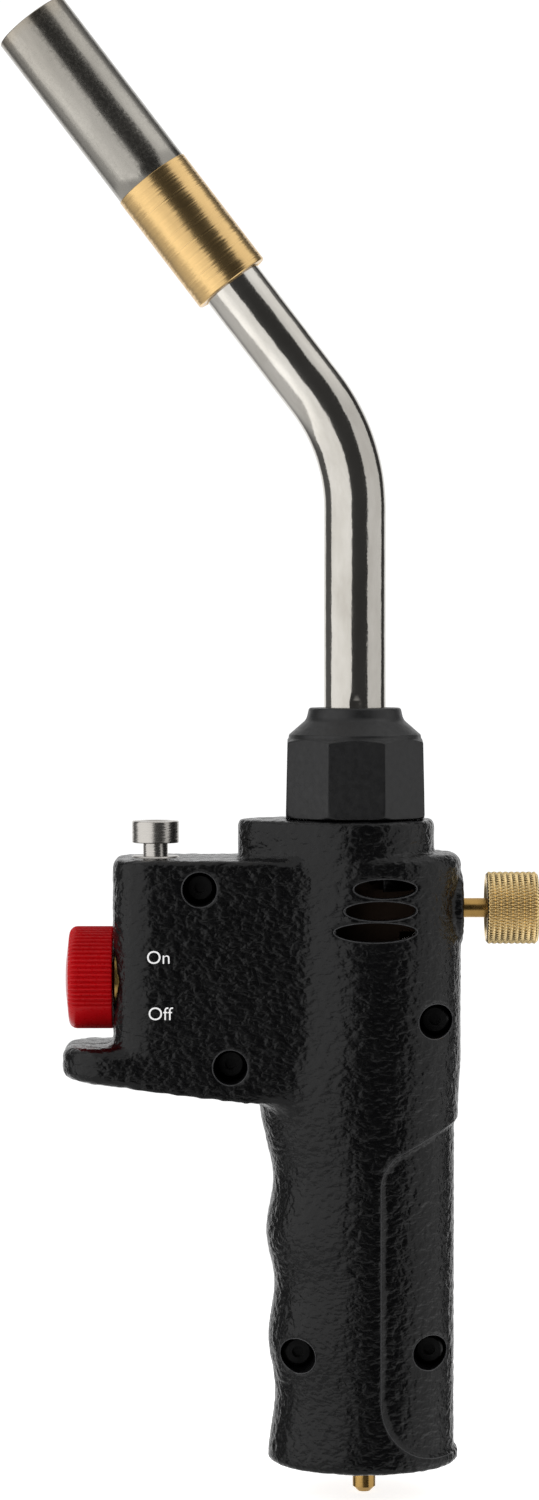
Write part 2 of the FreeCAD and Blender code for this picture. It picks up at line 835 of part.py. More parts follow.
def handle_halves():
    form = rounded("RimmedForm", handle_form(), "rim_edge",
                   lambda edge: level(edge, 0.0))
    recessed = cut("RecessedForm", form, panel_recess())
    shell = cut("ShellForm", recessed, handle_hollow())
    shell = cut("Shell", shell, handle_openings())
    for label, low in (("left_housing_half", "-side_width"), ("right_housing_half", "0")):
        side = slab_block(label + "_side", "-side_reach", low, "2 * side_reach", "side_width",
                          "-cut_margin", "2 * side_reach")
        keep(common(label, shell, side), label)


# ---------------------------------------------------------------- fasteners of the handle

def housing_screws():
    screw = turned("HousingScrew", """
        0, -screw_seat - screw_head_height + screw_drive_depth
        screw_drive_radius, -screw_seat - screw_head_height + screw_drive_depth
        screw_drive_radius, -screw_seat - screw_head_height
        screw_head_radius - screw_head_edge, -screw_seat - screw_head_height
        screw_head_radius, -screw_seat - screw_head_height + screw_head_edge
        screw_head_radius, -screw_seat
        screw_radius, -screw_seat
        screw_radius, screw_length
        0, screw_length + screw_point
        """)
    group = doc.addObject("Part::Feature", "housing_screws")
    copies = []
    for x, z in SCREWS:
        copy = screw.Shape.copy()
        copy.Placement = FreeCAD.Placement(V(x, 0, z), UP_TO_FAR_SIDE)
        copies.append(copy)
    group.Shape = Part.makeCompound(copies)
    keep(group, "housing_screws")


# ---------------------------------------------------------------- gas inlet

def gas_inlet():
    keep(turned("cylinder_socket", """
        socket_bore, socket_base + socket_chamfer
        socket_bore + socket_chamfer, socket_base
        socket_radius, socket_base
        socket_radius, socket_top
        socket_neck_radius, socket_top
        socket_neck_radius, socket_neck_top
        inlet_bore, socket_neck_top
        inlet_bore, socket_floor
        socket_bore, socket_floor
        """), "cylinder_socket")
    keep(turned("inlet_probe", """
        probe_gas_way, probe_tip
        probe_radius - probe_chamfer, probe_tip
        probe_radius, probe_tip + probe_chamfer
        probe_radius, probe_shoulder
        probe_shoulder_radius, probe_shoulder
        probe_shoulder_radius, probe_flange_base
        probe_flange_radius, probe_flange_base
        probe_flange_radius, socket_floor
        inlet_bore, socket_floor
        inlet_bore, probe_end
        probe_gas_way, probe_end
        """), "inlet_probe")
    ring("inlet_seal", "inlet_seal_mean", "inlet_seal_wire", z="inlet_seal_height")
    keep(turned("inlet_filter", """
        0, probe_end
        inlet_bore, probe_end
        inlet_bore, filter_top
        0, filter_top
        """), "inlet_filter")


# ---------------------------------------------------------------- pressure regulator

def regulator_body():
    chest = turned("RegulatorChest", """
        0, socket_neck_top
        regulator_radius, socket_neck_top
        regulator_radius, regulator_joint
        chamber_radius, regulator_joint
        chamber_radius, chamber_floor
        poppet_seat_hole, chamber_floor
        poppet_seat_hole, poppet_seat
        poppet_bore, poppet_seat
        poppet_bore, poppet_bore_floor
        0, poppet_bore_floor
        """, x="regulator_x")
    ear = fuse("OutletEar", [
        cylinder("EarRound", "outlet_radius", "ear_base", "ear_height", x="outlet_x"),
        slab_block("EarWeb", "outlet_x", "-outlet_radius", "outlet_radius + ear_root",
                   "2 * outlet_radius", "ear_base", "ear_height"),
    ])
    keep_out = cylinder("EarLimit", "chamber_radius + overcut", "socket_neck_top",
                        "2 * ear_height", x="regulator_x")
    ear = cut("OutletEarTrimmed", ear, keep_out)
    drillings = fuse("RegulatorDrillings", [
        cylinder("RegulatorInlet", "regulator_inlet", "socket_neck_top - overcut",
                 "regulator_inlet_top - socket_neck_top + overcut"),
        cylinder("OutletBore", "feed_radius", "feed_start", "2 * cut_margin", x="outlet_x"),
        cylinder("OutletPassage", "passage_radius", "outlet_x", "passage_length",
                 z="passage_height", turn=UP_TO_REAR),
    ])
    blank = fuse("RegulatorBlank", [chest, ear])
    keep(cut("RegulatorBody", blank, drillings), "regulator_body")


def slab_block(name, x, y, length, width, base, height):
    """A plain block placed by its lowest corner."""
    block = doc.addObject("Part::Box", name)
    block.setExpression("Length", bound(length))
    block.setExpression("Width", bound(width))
    block.setExpression("Height", bound(height))
    return place(block, x, y, base)


def regulator_inside():
    keep(turned("regulator_poppet", """
        0, poppet_base
        poppet_radius, poppet_base
        poppet_radius, poppet_face
        poppet_stem, poppet_face
        poppet_stem, poppet_stem_top
        0, poppet_stem_top
        """, x="regulator_x"), "regulator_poppet")
    keep(turned("regulator_diaphragm", """
        0, regulator_joint
        regulator_radius, regulator_joint
        regulator_radius, diaphragm_top
        0, diaphragm_top
        """, x="regulator_x"), "regulator_diaphragm")
    keep(turned("diaphragm_plate", """
        0, diaphragm_top
        plate_radius, diaphragm_top
        plate_radius, plate_top
        0, plate_top
        """, x="regulator_x"), "diaphragm_plate")
    coil_spring("regulator_spring", "regulator_spring_mean", "regulator_spring_wire",
                "regulator_spring_pitch", "regulator_spring_length", "regulator_x",
                "plate_top + regulator_spring_wire")
    keep(turned("regulator_cap", """
        cap_hollow, diaphragm_top
        regulator_radius, diaphragm_top
        regulator_radius, cap_flange_top
        cap_radius, cap_flange_top
        cap_radius, cap_top
        regulator_screw_radius, cap_top
        regulator_screw_radius, cap_ceiling
        cap_hollow, cap_ceiling
        """, x="regulator_x"), "regulator_cap")
    keep(turned("regulator_screw", """
        0, cap_ceiling
        regulator_screw_radius, cap_ceiling
        regulator_screw_radius, regulator_screw_top
        0, regulator_screw_top
        """, x="regulator_x"), "regulator_screw")


def feed_tube():
    """Copper tube from the regulator's outlet up to the shut-off valve, with one gentle jog."""
    turn = math.radians(value("feed_turn"))
    bend = value("feed_bend")
    offset = value("outlet_x - port_x")
    slanted = round((offset - 2 * bend * (1 - math.cos(turn))) / math.sin(turn), 4)
    climb = 2 * bend * math.sin(turn) + slanted * math.cos(turn)
    runs = [
        ("feed_rise", "feed_turn", "feed_bend"),
        (str(slanted), "-feed_turn", "feed_bend"),
        (f"feed_end - feed_start - feed_rise - {round(climb, 4)}", None, None),
    ]
    tube = bent_tube("feed_tube", ("outlet_x", "feed_start"), 90, runs, "feed_radius", "feed_bore")
    keep(tube, "feed_tube")


# ---------------------------------------------------------------- shut-off valve

def valve_body():
    blank = slab("ValveBlank", "XZ_Plane", """
        valve_start, valve_height - rail_half_height
        rail_end, valve_height - rail_half_height
        rail_end, valve_height - chamber_half_height
        valve_end, valve_height - chamber_half_height
        valve_end, needle_height - needle_block_depth
        needle_block_end, needle_height - needle_block_depth
        needle_block_end, jet_seat
        tower_front, jet_seat
        tower_front, tower_shoulder
        rail_end, tower_shoulder
        rail_end, valve_height + rail_half_height
        valve_start, valve_height + rail_half_height
        """, "2 * valve_half_width")
    nose = cylinder("ValveNose", "nose_radius", "valve_nose",
                    "valve_start - valve_nose + overcut",
                    z="valve_height", turn=UP_TO_REAR)
    drillings = fuse("ValveDrillings", [
        cylinder("SpindleBore", "spindle_hole", "valve_nose - overcut",
                 "spindle_end - valve_nose + 2 * overcut", z="valve_height", turn=UP_TO_REAR),
        cylinder("SpindlePacking", "spindle_packing_radius", "valve_nose - overcut",
                 "spindle_packing_depth + overcut", z="valve_height", turn=UP_TO_REAR),
        cylinder("InletPort", "feed_bore", "valve_height - port_depth", "port_depth", x="port_x"),
        cylinder("InletSocket", "feed_radius", "valve_height - port_depth",
                 "feed_end - valve_height + port_depth", x="port_x"),
        cylinder("OutletPort", "feed_bore", "valve_height",
                 "gallery_height - valve_height + gallery_end", x="port_x"),
        cylinder("Gallery", "gallery_radius", "port_x", "arm_x - port_x", z="gallery_height",
                 turn=UP_TO_REAR),
        cylinder("Riser", "feed_bore", "gallery_height - gallery_end",
                 "riser_top - gallery_height + gallery_end", x="arm_x"),
        cylinder("NeedleBore", "needle_hole", "needle_bore_end",
                 "needle_block_end - needle_bore_end + overcut", z="needle_height",
                 turn=UP_TO_REAR),
        cylinder("NeedlePacking", "packing_radius", "packing_start",
                 "needle_block_end - packing_start + overcut", z="needle_height",
                 turn=UP_TO_REAR),
        cylinder("NeedleGlandBore", "needle_gland_radius", "packing_end",
                 "needle_block_end - packing_end + overcut", z="needle_height",
                 turn=UP_TO_REAR),
        cylinder("JetBore", "jet_thread_radius", "jet_base", "jet_seat - jet_base + overcut",
                 x="arm_x"),
    ])
    keep(cut("ValveBody", fuse("ValveCasting", [blank, nose]), drillings), "valve_body")


def shut_off():
    spindle = turned("SpindleBlank", """
        knob_screw_shank, spindle_front
        spindle_radius, spindle_front
        spindle_radius, spindle_end
        0, spindle_end
        0, knob_screw_end
        knob_screw_shank, knob_screw_end
        """, z="valve_height", turn=UP_TO_REAR)
    gas_way = cylinder("SpindleGasWay", "port_radius", "-spindle_radius - overcut",
                       "2 * spindle_radius + 2 * overcut", x="port_x", z="valve_height",
                       turn=UP_TO_FAR_SIDE)
    keep(cut("Spindle", spindle, gas_way), "shutoff_spindle")
    ring("spindle_o_ring", "spindle_ring_mean", "spindle_ring_wire", x="spindle_ring_x",
         z="valve_height", turn=UP_TO_REAR)
    keep(turned("gland_nut", """
        spindle_hole, gland_front
        gland_radius - gland_chamfer, gland_front
        gland_radius, gland_front + gland_chamfer
        gland_radius, valve_start - gland_gap
        nose_radius, valve_start - gland_gap
        nose_radius, gland_front + gland_wall
        spindle_hole, gland_front + gland_wall
        """, z="valve_height", turn=UP_TO_REAR), "gland_nut")


def on_off_knob():
    """Round knob with a domed front, a recess for its screw and a bore for the spindle."""
    knob = turned("KnobTurning", """
        spindle_radius, knob_back
        knob_radius, knob_back
        knob_radius, knob_front + knob_dome
        knob_crown, knob_front
        knob_recess, knob_front
        knob_recess, knob_recess_floor
        knob_screw_shank, knob_recess_floor
        knob_screw_shank, spindle_front
        spindle_radius, spindle_front
        """, z="valve_height", turn=UP_TO_REAR)
    rim = value("knob_front + knob_dome")
    knob = rounded("KnobEdged", knob, "knob_edge",
                   lambda edge: edge.BoundBox.ZLength > value("2 * knob_radius - fit_gap")
                   and abs(edge.BoundBox.XMax - rim) < value("fit_gap"))
    keep(knob, "on_off_knob")
    keep(turned("knob_screw", """
        0, knob_drive_floor
        knob_drive_radius, knob_drive_floor
        knob_drive_radius, knob_screw_face
        knob_screw_head - knob_screw_edge, knob_screw_face
        knob_screw_head, knob_screw_face + knob_screw_edge
        knob_screw_head, knob_recess_floor
        knob_screw_shank, knob_recess_floor
        knob_screw_shank, knob_screw_end - knob_screw_gap
        0, knob_screw_end - knob_screw_gap
        """, z="valve_height", turn=UP_TO_REAR), "knob_screw")


# ---------------------------------------------------------------- flame control

def flame_control():
    keep(turned("flame_needle", """
        0, needle_tip - needle_point
        needle_radius - needle_point, needle_tip - needle_point
        needle_radius, needle_tip
        needle_radius, needle_end
        0, needle_end
        """, z="needle_height", turn=UP_TO_REAR), "flame_needle")
    keep(turned("flame_knob", """
        needle_radius, flame_knob_start + flame_knob_dish
        flame_knob_face, flame_knob_start + flame_knob_dish
        flame_knob_lip, flame_knob_start
        flame_knob_radius - flame_knob_edge, flame_knob_start
        flame_knob_radius, flame_knob_start + flame_knob_edge
        flame_knob_radius, flame_knob_end - flame_knob_edge
        flame_knob_radius - flame_knob_edge, flame_knob_end
        0, flame_knob_end
        0, needle_end
        needle_radius, needle_end
        """, z="needle_height", turn=UP_TO_REAR), "flame_knob")
    keep(turned("needle_gland", """
        needle_hole, packing_end
        needle_gland_radius, packing_end
        needle_gland_radius, needle_gland_end
        needle_hole, needle_gland_end
        """, z="needle_height", turn=UP_TO_REAR), "needle_gland")
    ring("needle_o_ring", "needle_ring_mean", "needle_ring_wire", x="needle_ring_x",
         z="needle_height", turn=UP_TO_REAR)


# ---------------------------------------------------------------- jet and mixing tube

def mixer():
    keep(turned("jet", """
        jet_bore, jet_base
        jet_thread_radius, jet_base
        jet_thread_radius, jet_seat
        jet_hex_radius, jet_seat
        jet_hex_radius, jet_hex_top
        jet_tip_radius, jet_hex_top + jet_hex_edge
        jet_tip_radius, jet_top
        jet_orifice, jet_top
        jet_orifice, jet_top - jet_tip_depth
        jet_bore, jet_top - jet_tip_depth - jet_cone
        """, x="arm_x"), "jet")
    keep(turned("mixing_tube", """
        mixer_mouth, mixer_base
        mixer_radius, mixer_base
        mixer_radius, mixer_flange_base
        mixer_flange_radius, mixer_flange_base
        mixer_flange_radius, mixer_flange_top
        mixer_radius, mixer_flange_top
        mixer_radius, mixer_top
        tube_bore, mixer_top
        mixer_throat, mixer_throat_top
        mixer_throat, mixer_flange_base
        """, x="arm_x"), "mixing_tube")


def air_screen():
    """Drilled ring that keeps insects and dirt out of the mixing tube's mouth."""
    band = turned("ScreenBand", """
        screen_bore, screen_base
        mixer_radius, screen_base
        mixer_radius, mixer_base
        screen_bore, mixer_base
        """, x="arm_x")
    holes = []
    count = int(value("screen_holes"))
    for index in range(count // 2):
        angle = index * 360 / count
        across = FreeCAD.Rotation(V(0, 0, 1), angle) * UP_TO_REAR
        hole = doc.addObject("Part::Cylinder", f"ScreenHole{index}")
        hole.setExpression("Radius", bound("screen_hole_radius"))
        hole.setExpression("Height", bound("2 * mixer_radius + 2"))
        middle = V(value("arm_x"), 0, value("lower_lead_cross"))
        start = middle - across.multVec(V(0, 0, 1)) * (value("mixer_radius") + 1)
        hole.Placement = FreeCAD.Placement(start, across)
        holes.append(hole)
    keep(cut("ScreenDrilled", band, fuse("ScreenHoles", holes)), "air_screen")


# ---------------------------------------------------------------- nut over the swivel

def burner_nut():
    """Eight-sided nut with tapering flats and a flared neck that holds the burner's ferrule."""
    body = doc.addObject("PartDesign::Body", "BurnerNutBody")
    sketch = plane_sketch(body, "NutFlats", "XY_Plane")
    sketch.AttachmentOffset = FreeCAD.Placement(V(0, 0, value("nut_base")), NO_TURN)
    across = f"nut_flats_base / 2 / cos({180 / NUT_SIDES})"
    angles = [(side + 0.5) * 360 / NUT_SIDES for side in range(NUT_SIDES)]
    corners = [(f"{across} * cos({angle})", f"{across} * sin({angle})") for angle in angles]
    points = [V(value(x), value(y), 0) for x, y in corners]
    for side, (x, y) in enumerate(corners):
        following = (side + 1) % NUT_SIDES
        sketch.addGeometry(Part.LineSegment(points[side], points[following]))
    for side, (x, y) in enumerate(corners):
        sketch.addConstraint(Sketcher.Constraint("Coincident", side, 2, (side + 1) % NUT_SIDES, 1))
        pin_point(sketch, side, 1, x, y)
    pad = body.newObject("PartDesign::Pad", "NutPad")
    pad.Profile = sketch
    pad.setExpression("Length", bound("nut_shoulder - nut_base"))
    pad.TaperAngle = -value("nut_taper")
    doc.recompute()
    revolve(body, "NutNeck", """
        0, nut_root
        nut_root_radius, nut_root
        nut_disc_radius, nut_shoulder
        nut_disc_radius, nut_disc_top
        nut_cone_radius, nut_cone_top
        nut_neck_radius, nut_top
        0, nut_top
        """)
    doc.recompute()
    groove = body.newObject("PartDesign::Groove", "NutBore")
    groove.Profile = outline_sketch(body, "NutBoreOutline", "XZ_Plane", """
        0, nut_base - 1
        nut_bore, nut_base - 1
        nut_bore, nut_bore_top
        nut_hole, nut_bore_top
        nut_hole, seal_groove_base
        seal_groove_radius, seal_groove_base
        seal_groove_radius, seal_groove_top
        nut_hole, seal_groove_top
        nut_hole, nut_top + 1
        0, nut_top + 1
        """)
    groove.ReferenceAxis = (groove.Profile[0], ["V_Axis"])
    groove.Angle = 360
    doc.recompute()
    corner = body.newObject("PartDesign::Groove", "NutCorners")
    corner.Profile = outline_sketch(body, "NutCornersOutline", "XZ_Plane", """
        nut_corner_radius, nut_shoulder
        nut_corner_reach, nut_corner_base
        nut_corner_reach, nut_corner_roof
        nut_corner_radius, nut_corner_roof
        """)
    corner.ReferenceAxis = (corner.Profile[0], ["V_Axis"])
    corner.Angle = 360
    doc.recompute()
    place(body, "arm_x")
    doc.recompute()
    cone, neck = value("nut_cone_radius"), value("nut_cone_top")
    nut = rounded("NutFlare", body, "nut_flare_radius",
                  lambda edge: level(edge, neck) and edge.BoundBox.YLength > cone)
    nut = rounded("NutDiscEdge", nut, "nut_disc_edge",
                  lambda edge: level(edge, value("nut_disc_top"))
                  and edge.BoundBox.YLength > value("2 * nut_disc_radius - fit_gap"))
    nut = rounded("NutNeckEdge", nut, "nut_neck_edge",
                  lambda edge: level(edge, value("nut_top"))
                  and edge.BoundBox.YLength > value("2 * nut_neck_radius - fit_gap"))
    keep(nut, "burner_nut")
    ring("swivel_seal", "swivel_seal_mean", "swivel_seal_wire",
         x="arm_x", z="(seal_groove_base + seal_groove_top) / 2")


# ---------------------------------------------------------------- burner arm

def on_arm(label, outline, offset=0.0):
    """A turned piece on the slanted arm; its own Z runs up the arm from the elbow's corner."""
    tilt = math.radians(value("arm_turn"))
    inward = V(-math.cos(tilt), 0, -math.sin(tilt)) * offset
    body = turned(label, outline)
    lean = FreeCAD.Rotation(V(0, 1, 0), -value("arm_turn"))
    corner = V(value("arm_x"), 0, value("elbow_height"))
    body.Placement = FreeCAD.Placement(corner + inward, lean)
    if not offset:
        body.setExpression(".Placement.Base.x", bound("arm_x"))
        body.setExpression(".Placement.Base.z", bound("elbow_height"))
    return body


def burner_arm():
    tangent = value("elbow_radius") * math.tan(math.radians(value("arm_turn") / 2))
    runs = [
        (f"elbow_height - {round(tangent, 4)} - tube_foot", "arm_turn", "elbow_radius"),
        (f"tube_end - {round(tangent, 4)}", None, None),
    ]
    tube = bent_tube("burner_tube", ("arm_x", "tube_foot"), 90, runs, "tube_radius", "tube_bore")
    keep(tube, "burner_tube")
    keep(turned("tube_ferrule", """
        tube_radius, ferrule_base
        ferrule_radius, ferrule_base
        ferrule_radius, ferrule_top
        tube_radius, ferrule_top
        """, x="arm_x"), "tube_ferrule")
    keep(on_arm("burner_sleeve", """
        tube_radius, sleeve_start
        sleeve_radius - sleeve_edge, sleeve_start
        sleeve_radius, sleeve_start + sleeve_edge
        sleeve_radius, sleeve_joint
        flame_tube_bore, sleeve_joint
        flame_tube_bore, sleeve_spigot_end
        sleeve_throat, sleeve_spigot_end
        sleeve_throat, tube_end
        tube_radius, tube_end
        """), "burner_sleeve")
    keep(on_arm("flame_tube", """
        flame_tube_bore, sleeve_joint
        flame_tube_radius, sleeve_joint
        flame_tube_radius, flame_tube_end - flame_tube_edge
        flame_tube_radius - flame_tube_edge, flame_tube_end
        flame_tube_bore + flame_tube_edge, flame_tube_end
        flame_tube_bore, flame_tube_end - flame_tube_edge
        """), "flame_tube")


def flame_holder():
    """Ring and hub joined by flat blades, set in the flame tube to steady the flame."""
    body = on_arm("FlameHolderRings", """
        holder_ring, holder_start
        flame_tube_bore, holder_start
        flame_tube_bore, holder_end
        holder_ring, holder_end
        """)
    frame = body.Placement
    blades = doc.addObject("Part::Feature", "FlameHolderBlades")
    hub = Part.makeCylinder(value("holder_hub"), value("holder_end - holder_start"),
                            V(0, 0, value("holder_start")))
    count = int(value("holder_blade_count"))
    inward = 180.0
    solid = hub
    for index in range(count):
        angle = inward + (index + 0.5) * 360 / count
        blade = Part.makeBox(value("holder_blade_reach"), value("holder_blade"),
                             value("holder_end - holder_start"),
                             V(0, -value("holder_blade") / 2, value("holder_start")))
        blade.rotate(V(0, 0, 0), V(0, 0, 1), angle)
        solid = solid.fuse(blade)
    blades.Shape = solid
    blades.Placement = frame
    joined = fuse("FlameHolder", [body, blades])
    keep(joined, "flame_holder")


def ignition_line():
    """The lead from the lighter to the electrode beside the flame holder, split at the swivel."""
    tangent = value("elbow_radius") * math.tan(math.radians(value("arm_turn") / 2))
    rise = "lower_lead_cross - lower_lead_height"
    lead_x = "arm_x - lead_offset"
    runs = [
        ("lower_lead_turn_x - lower_lead_start - lower_lead_bend", "90", "lower_lead_bend"),
        (f"{rise} - 2 * lower_lead_bend", "-90", "lower_lead_bend"),
        (f"{lead_x} - lower_lead_turn_x - 2 * lower_lead_bend", "90", "lower_lead_bend"),
        ("lower_lead_end - lower_lead_cross - lower_lead_bend", None, None),
    ]
    lower = bent_tube("ignition_lead_lower", ("lower_lead_start", "lower_lead_height"), 0, runs,
                      "lead_radius")
    keep(lower, "ignition_lead_lower")
    runs = [
        (f"elbow_height - {round(tangent, 4)} - upper_lead_foot", "arm_turn",
         "elbow_radius - lead_offset"),
        (f"upper_lead_end - {round(tangent, 4)}", None, None),
    ]
    upper = bent_tube("ignition_lead_upper", (lead_x, "upper_lead_foot"), 90, runs, "lead_radius")
    keep(upper, "ignition_lead_upper")
    offset = value("lead_offset")
    keep(on_arm("electrode_insulator", """
        lead_radius, insulator_start
        insulator_radius, insulator_start
        insulator_radius, insulator_end
        electrode_radius, insulator_end
        electrode_radius, upper_lead_end
        lead_radius, upper_lead_end
        """, offset), "electrode_insulator")
    keep(on_arm("ignition_electrode", """
        0, upper_lead_end
        electrode_radius, upper_lead_end
        electrode_radius, electrode_end
        0, electrode_end
        """, offset), "ignition_electrode")
    keep(turned("swivel_contact", """
        0, lower_lead_end
        contact_radius, lower_lead_end
        contact_radius, contact_top
        0, contact_top
        """, x=lead_x), "swivel_contact")


# ---------------------------------------------------------------- lighter

def lighter():
    keep(turned("igniter_button", """
        0, button_foot
        button_flange_radius, button_foot
        button_flange_radius, button_flange_top
        stem_radius, button_flange_top
        stem_radius, button_under
        button_radius - button_edge, button_under
        button_radius, button_under + button_edge
        button_radius, button_top - button_edge
        button_radius - button_edge, button_top
        0, button_top
        """, x="button_x"), "igniter_button")
    keep(turned("button_bush", """
        bush_hole, hollow_roof
        bush_radius, hollow_roof
        bush_radius, block_top
        bush_rim_radius, block_top
        bush_rim_radius - bush_edge, bush_top
        bush_hole + bush_edge, bush_top
        bush_hole, bush_top - bush_edge
        """, x="button_x"), "button_bush")
    case = slab_block("PiezoCase", "button_x - piezo_half_length", "-piezo_half_width",
                      "2 * piezo_half_length", "2 * piezo_half_width", "piezo_base",
                      "piezo_top - piezo_base")
    case = rounded("PiezoCaseRound", case, "piezo_corner", upright)
    bores = fuse("PiezoBores", [
        cylinder("PiezoBore", "piezo_bore", "piezo_bore_floor",
                 "piezo_top - piezo_bore_floor + overcut", x="button_x"),
        cylinder("PlungerBore", "plunger_bore", "plunger_bore_floor",
                 "piezo_top - plunger_bore_floor + overcut", x="button_x"),
    ])
    keep(cut("Piezo", case, bores), "piezo_igniter")
    keep(turned("piezo_plunger", """
        0, plunger_foot
        plunger_radius, plunger_foot
        plunger_radius, button_foot
        0, button_foot
        """, x="button_x"), "piezo_plunger")
    coil_spring("button_spring", "button_spring_mean", "button_spring_wire",
                "button_spring_pitch", "button_spring_length", "button_x",
                "piezo_bore_floor + button_spring_wire")


handle_halves()
housing_screws()
gas_inlet()
regulator_body()
regulator_inside()
feed_tube()
valve_body()
shut_off()
on_off_knob()
flame_control()
mixer()
air_screen()
burner_nut()
burner_arm()
flame_holder()
ignition_line()
lighter()


def save_parts():
    """Check every object and write each sub-part to a file of its own."""
    doc.recompute()
    for item in doc.Objects:
        if "Invalid" in item.State or "Error" in item.State:
            raise RuntimeError(f"{item.Label} did not compute: {item.State}")
    os.makedirs("parts", exist_ok=True)
    for part in parts:
        shape = part.Shape
        if shape.isNull() or not shape.isValid() or not shape.Solids:
            raise RuntimeError(f"{part.Label} has no valid solid")
        shape.exportStep(f"parts/{part.Label}.step")
        print(part.Label, len(shape.Solids), round(shape.Volume, 1))


save_parts()
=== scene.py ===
import contextlib
import json
import math

import bmesh
import bpy
import numpy as np
from mathutils import Matrix, Vector, noise
from mathutils.bvhtree import BVHTree


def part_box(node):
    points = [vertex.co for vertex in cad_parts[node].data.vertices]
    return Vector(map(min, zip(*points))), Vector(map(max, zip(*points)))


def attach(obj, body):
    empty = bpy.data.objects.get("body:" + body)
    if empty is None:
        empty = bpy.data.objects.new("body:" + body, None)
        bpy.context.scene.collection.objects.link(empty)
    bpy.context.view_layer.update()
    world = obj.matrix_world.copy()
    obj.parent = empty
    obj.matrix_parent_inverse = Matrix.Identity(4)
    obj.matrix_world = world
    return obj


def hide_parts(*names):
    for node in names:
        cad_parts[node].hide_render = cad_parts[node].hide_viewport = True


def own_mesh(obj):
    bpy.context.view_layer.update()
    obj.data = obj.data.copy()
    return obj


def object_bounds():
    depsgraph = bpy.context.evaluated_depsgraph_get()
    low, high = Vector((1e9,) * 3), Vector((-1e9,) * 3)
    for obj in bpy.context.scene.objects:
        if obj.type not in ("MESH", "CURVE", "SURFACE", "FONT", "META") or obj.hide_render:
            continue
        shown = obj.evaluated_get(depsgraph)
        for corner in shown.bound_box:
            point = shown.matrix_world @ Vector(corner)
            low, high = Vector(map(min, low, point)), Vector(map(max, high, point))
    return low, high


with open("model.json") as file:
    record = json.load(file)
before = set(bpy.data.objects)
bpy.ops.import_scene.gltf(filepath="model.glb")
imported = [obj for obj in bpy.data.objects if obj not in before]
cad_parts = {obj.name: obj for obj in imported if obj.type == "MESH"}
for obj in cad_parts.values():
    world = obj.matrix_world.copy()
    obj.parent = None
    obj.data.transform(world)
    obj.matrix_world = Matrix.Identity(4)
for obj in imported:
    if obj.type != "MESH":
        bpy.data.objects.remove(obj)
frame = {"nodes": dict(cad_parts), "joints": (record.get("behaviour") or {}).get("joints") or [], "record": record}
cad_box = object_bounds()

MM = 0.001
PER_METRE = 1000
VIEWED, FAR = -1, 1
NODES = frame["nodes"]
JOINTS = {joint["name"]: joint for joint in frame["joints"]}
SLOT_OF = {part["node"]: part["material_slot"] for part in frame["record"]["subparts"]}
BODY_OF = {node: body for body, nodes in frame["record"]["behaviour"]["bodies"].items()
           for node in nodes}


# ------------------------------------------------------------------ places read from the frame

def middle(node):
    low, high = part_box(node)
    return (low + high) / 2


SWIVEL = Vector(JOINTS["burner_swivel"]["pos_m"])
KNOB_AXIS = Vector(JOINTS["on_off_turn"]["pos_m"])
NEEDLE_AXIS = Vector(JOINTS["flame_turn"]["pos_m"])
MOUNTS = {mount["name"]: mount for mount in frame["record"]["mounts"]}
ARM = Vector(MOUNTS["flame_tube_outside"]["axis"]).normalized()
ARM_POINT = Vector(MOUNTS["flame_tube_outside"]["pos_m"])
ELBOW = ARM_POINT + ARM * ((SWIVEL.x - ARM_POINT.x) / ARM.x)
TO_FRONT = Matrix.Rotation(math.radians(-90), 4, "Y")
TO_REAR = Matrix.Rotation(math.radians(90), 4, "Y")
TO_VIEWER = Matrix.Rotation(math.radians(90), 4, "X")
ARM_TURN = math.atan2(-ARM.x, ARM.z)
ON_ARM = Matrix.Translation(ELBOW) @ Matrix.Rotation(-ARM_TURN, 4, "Y")


# ------------------------------------------------------------------ node materials

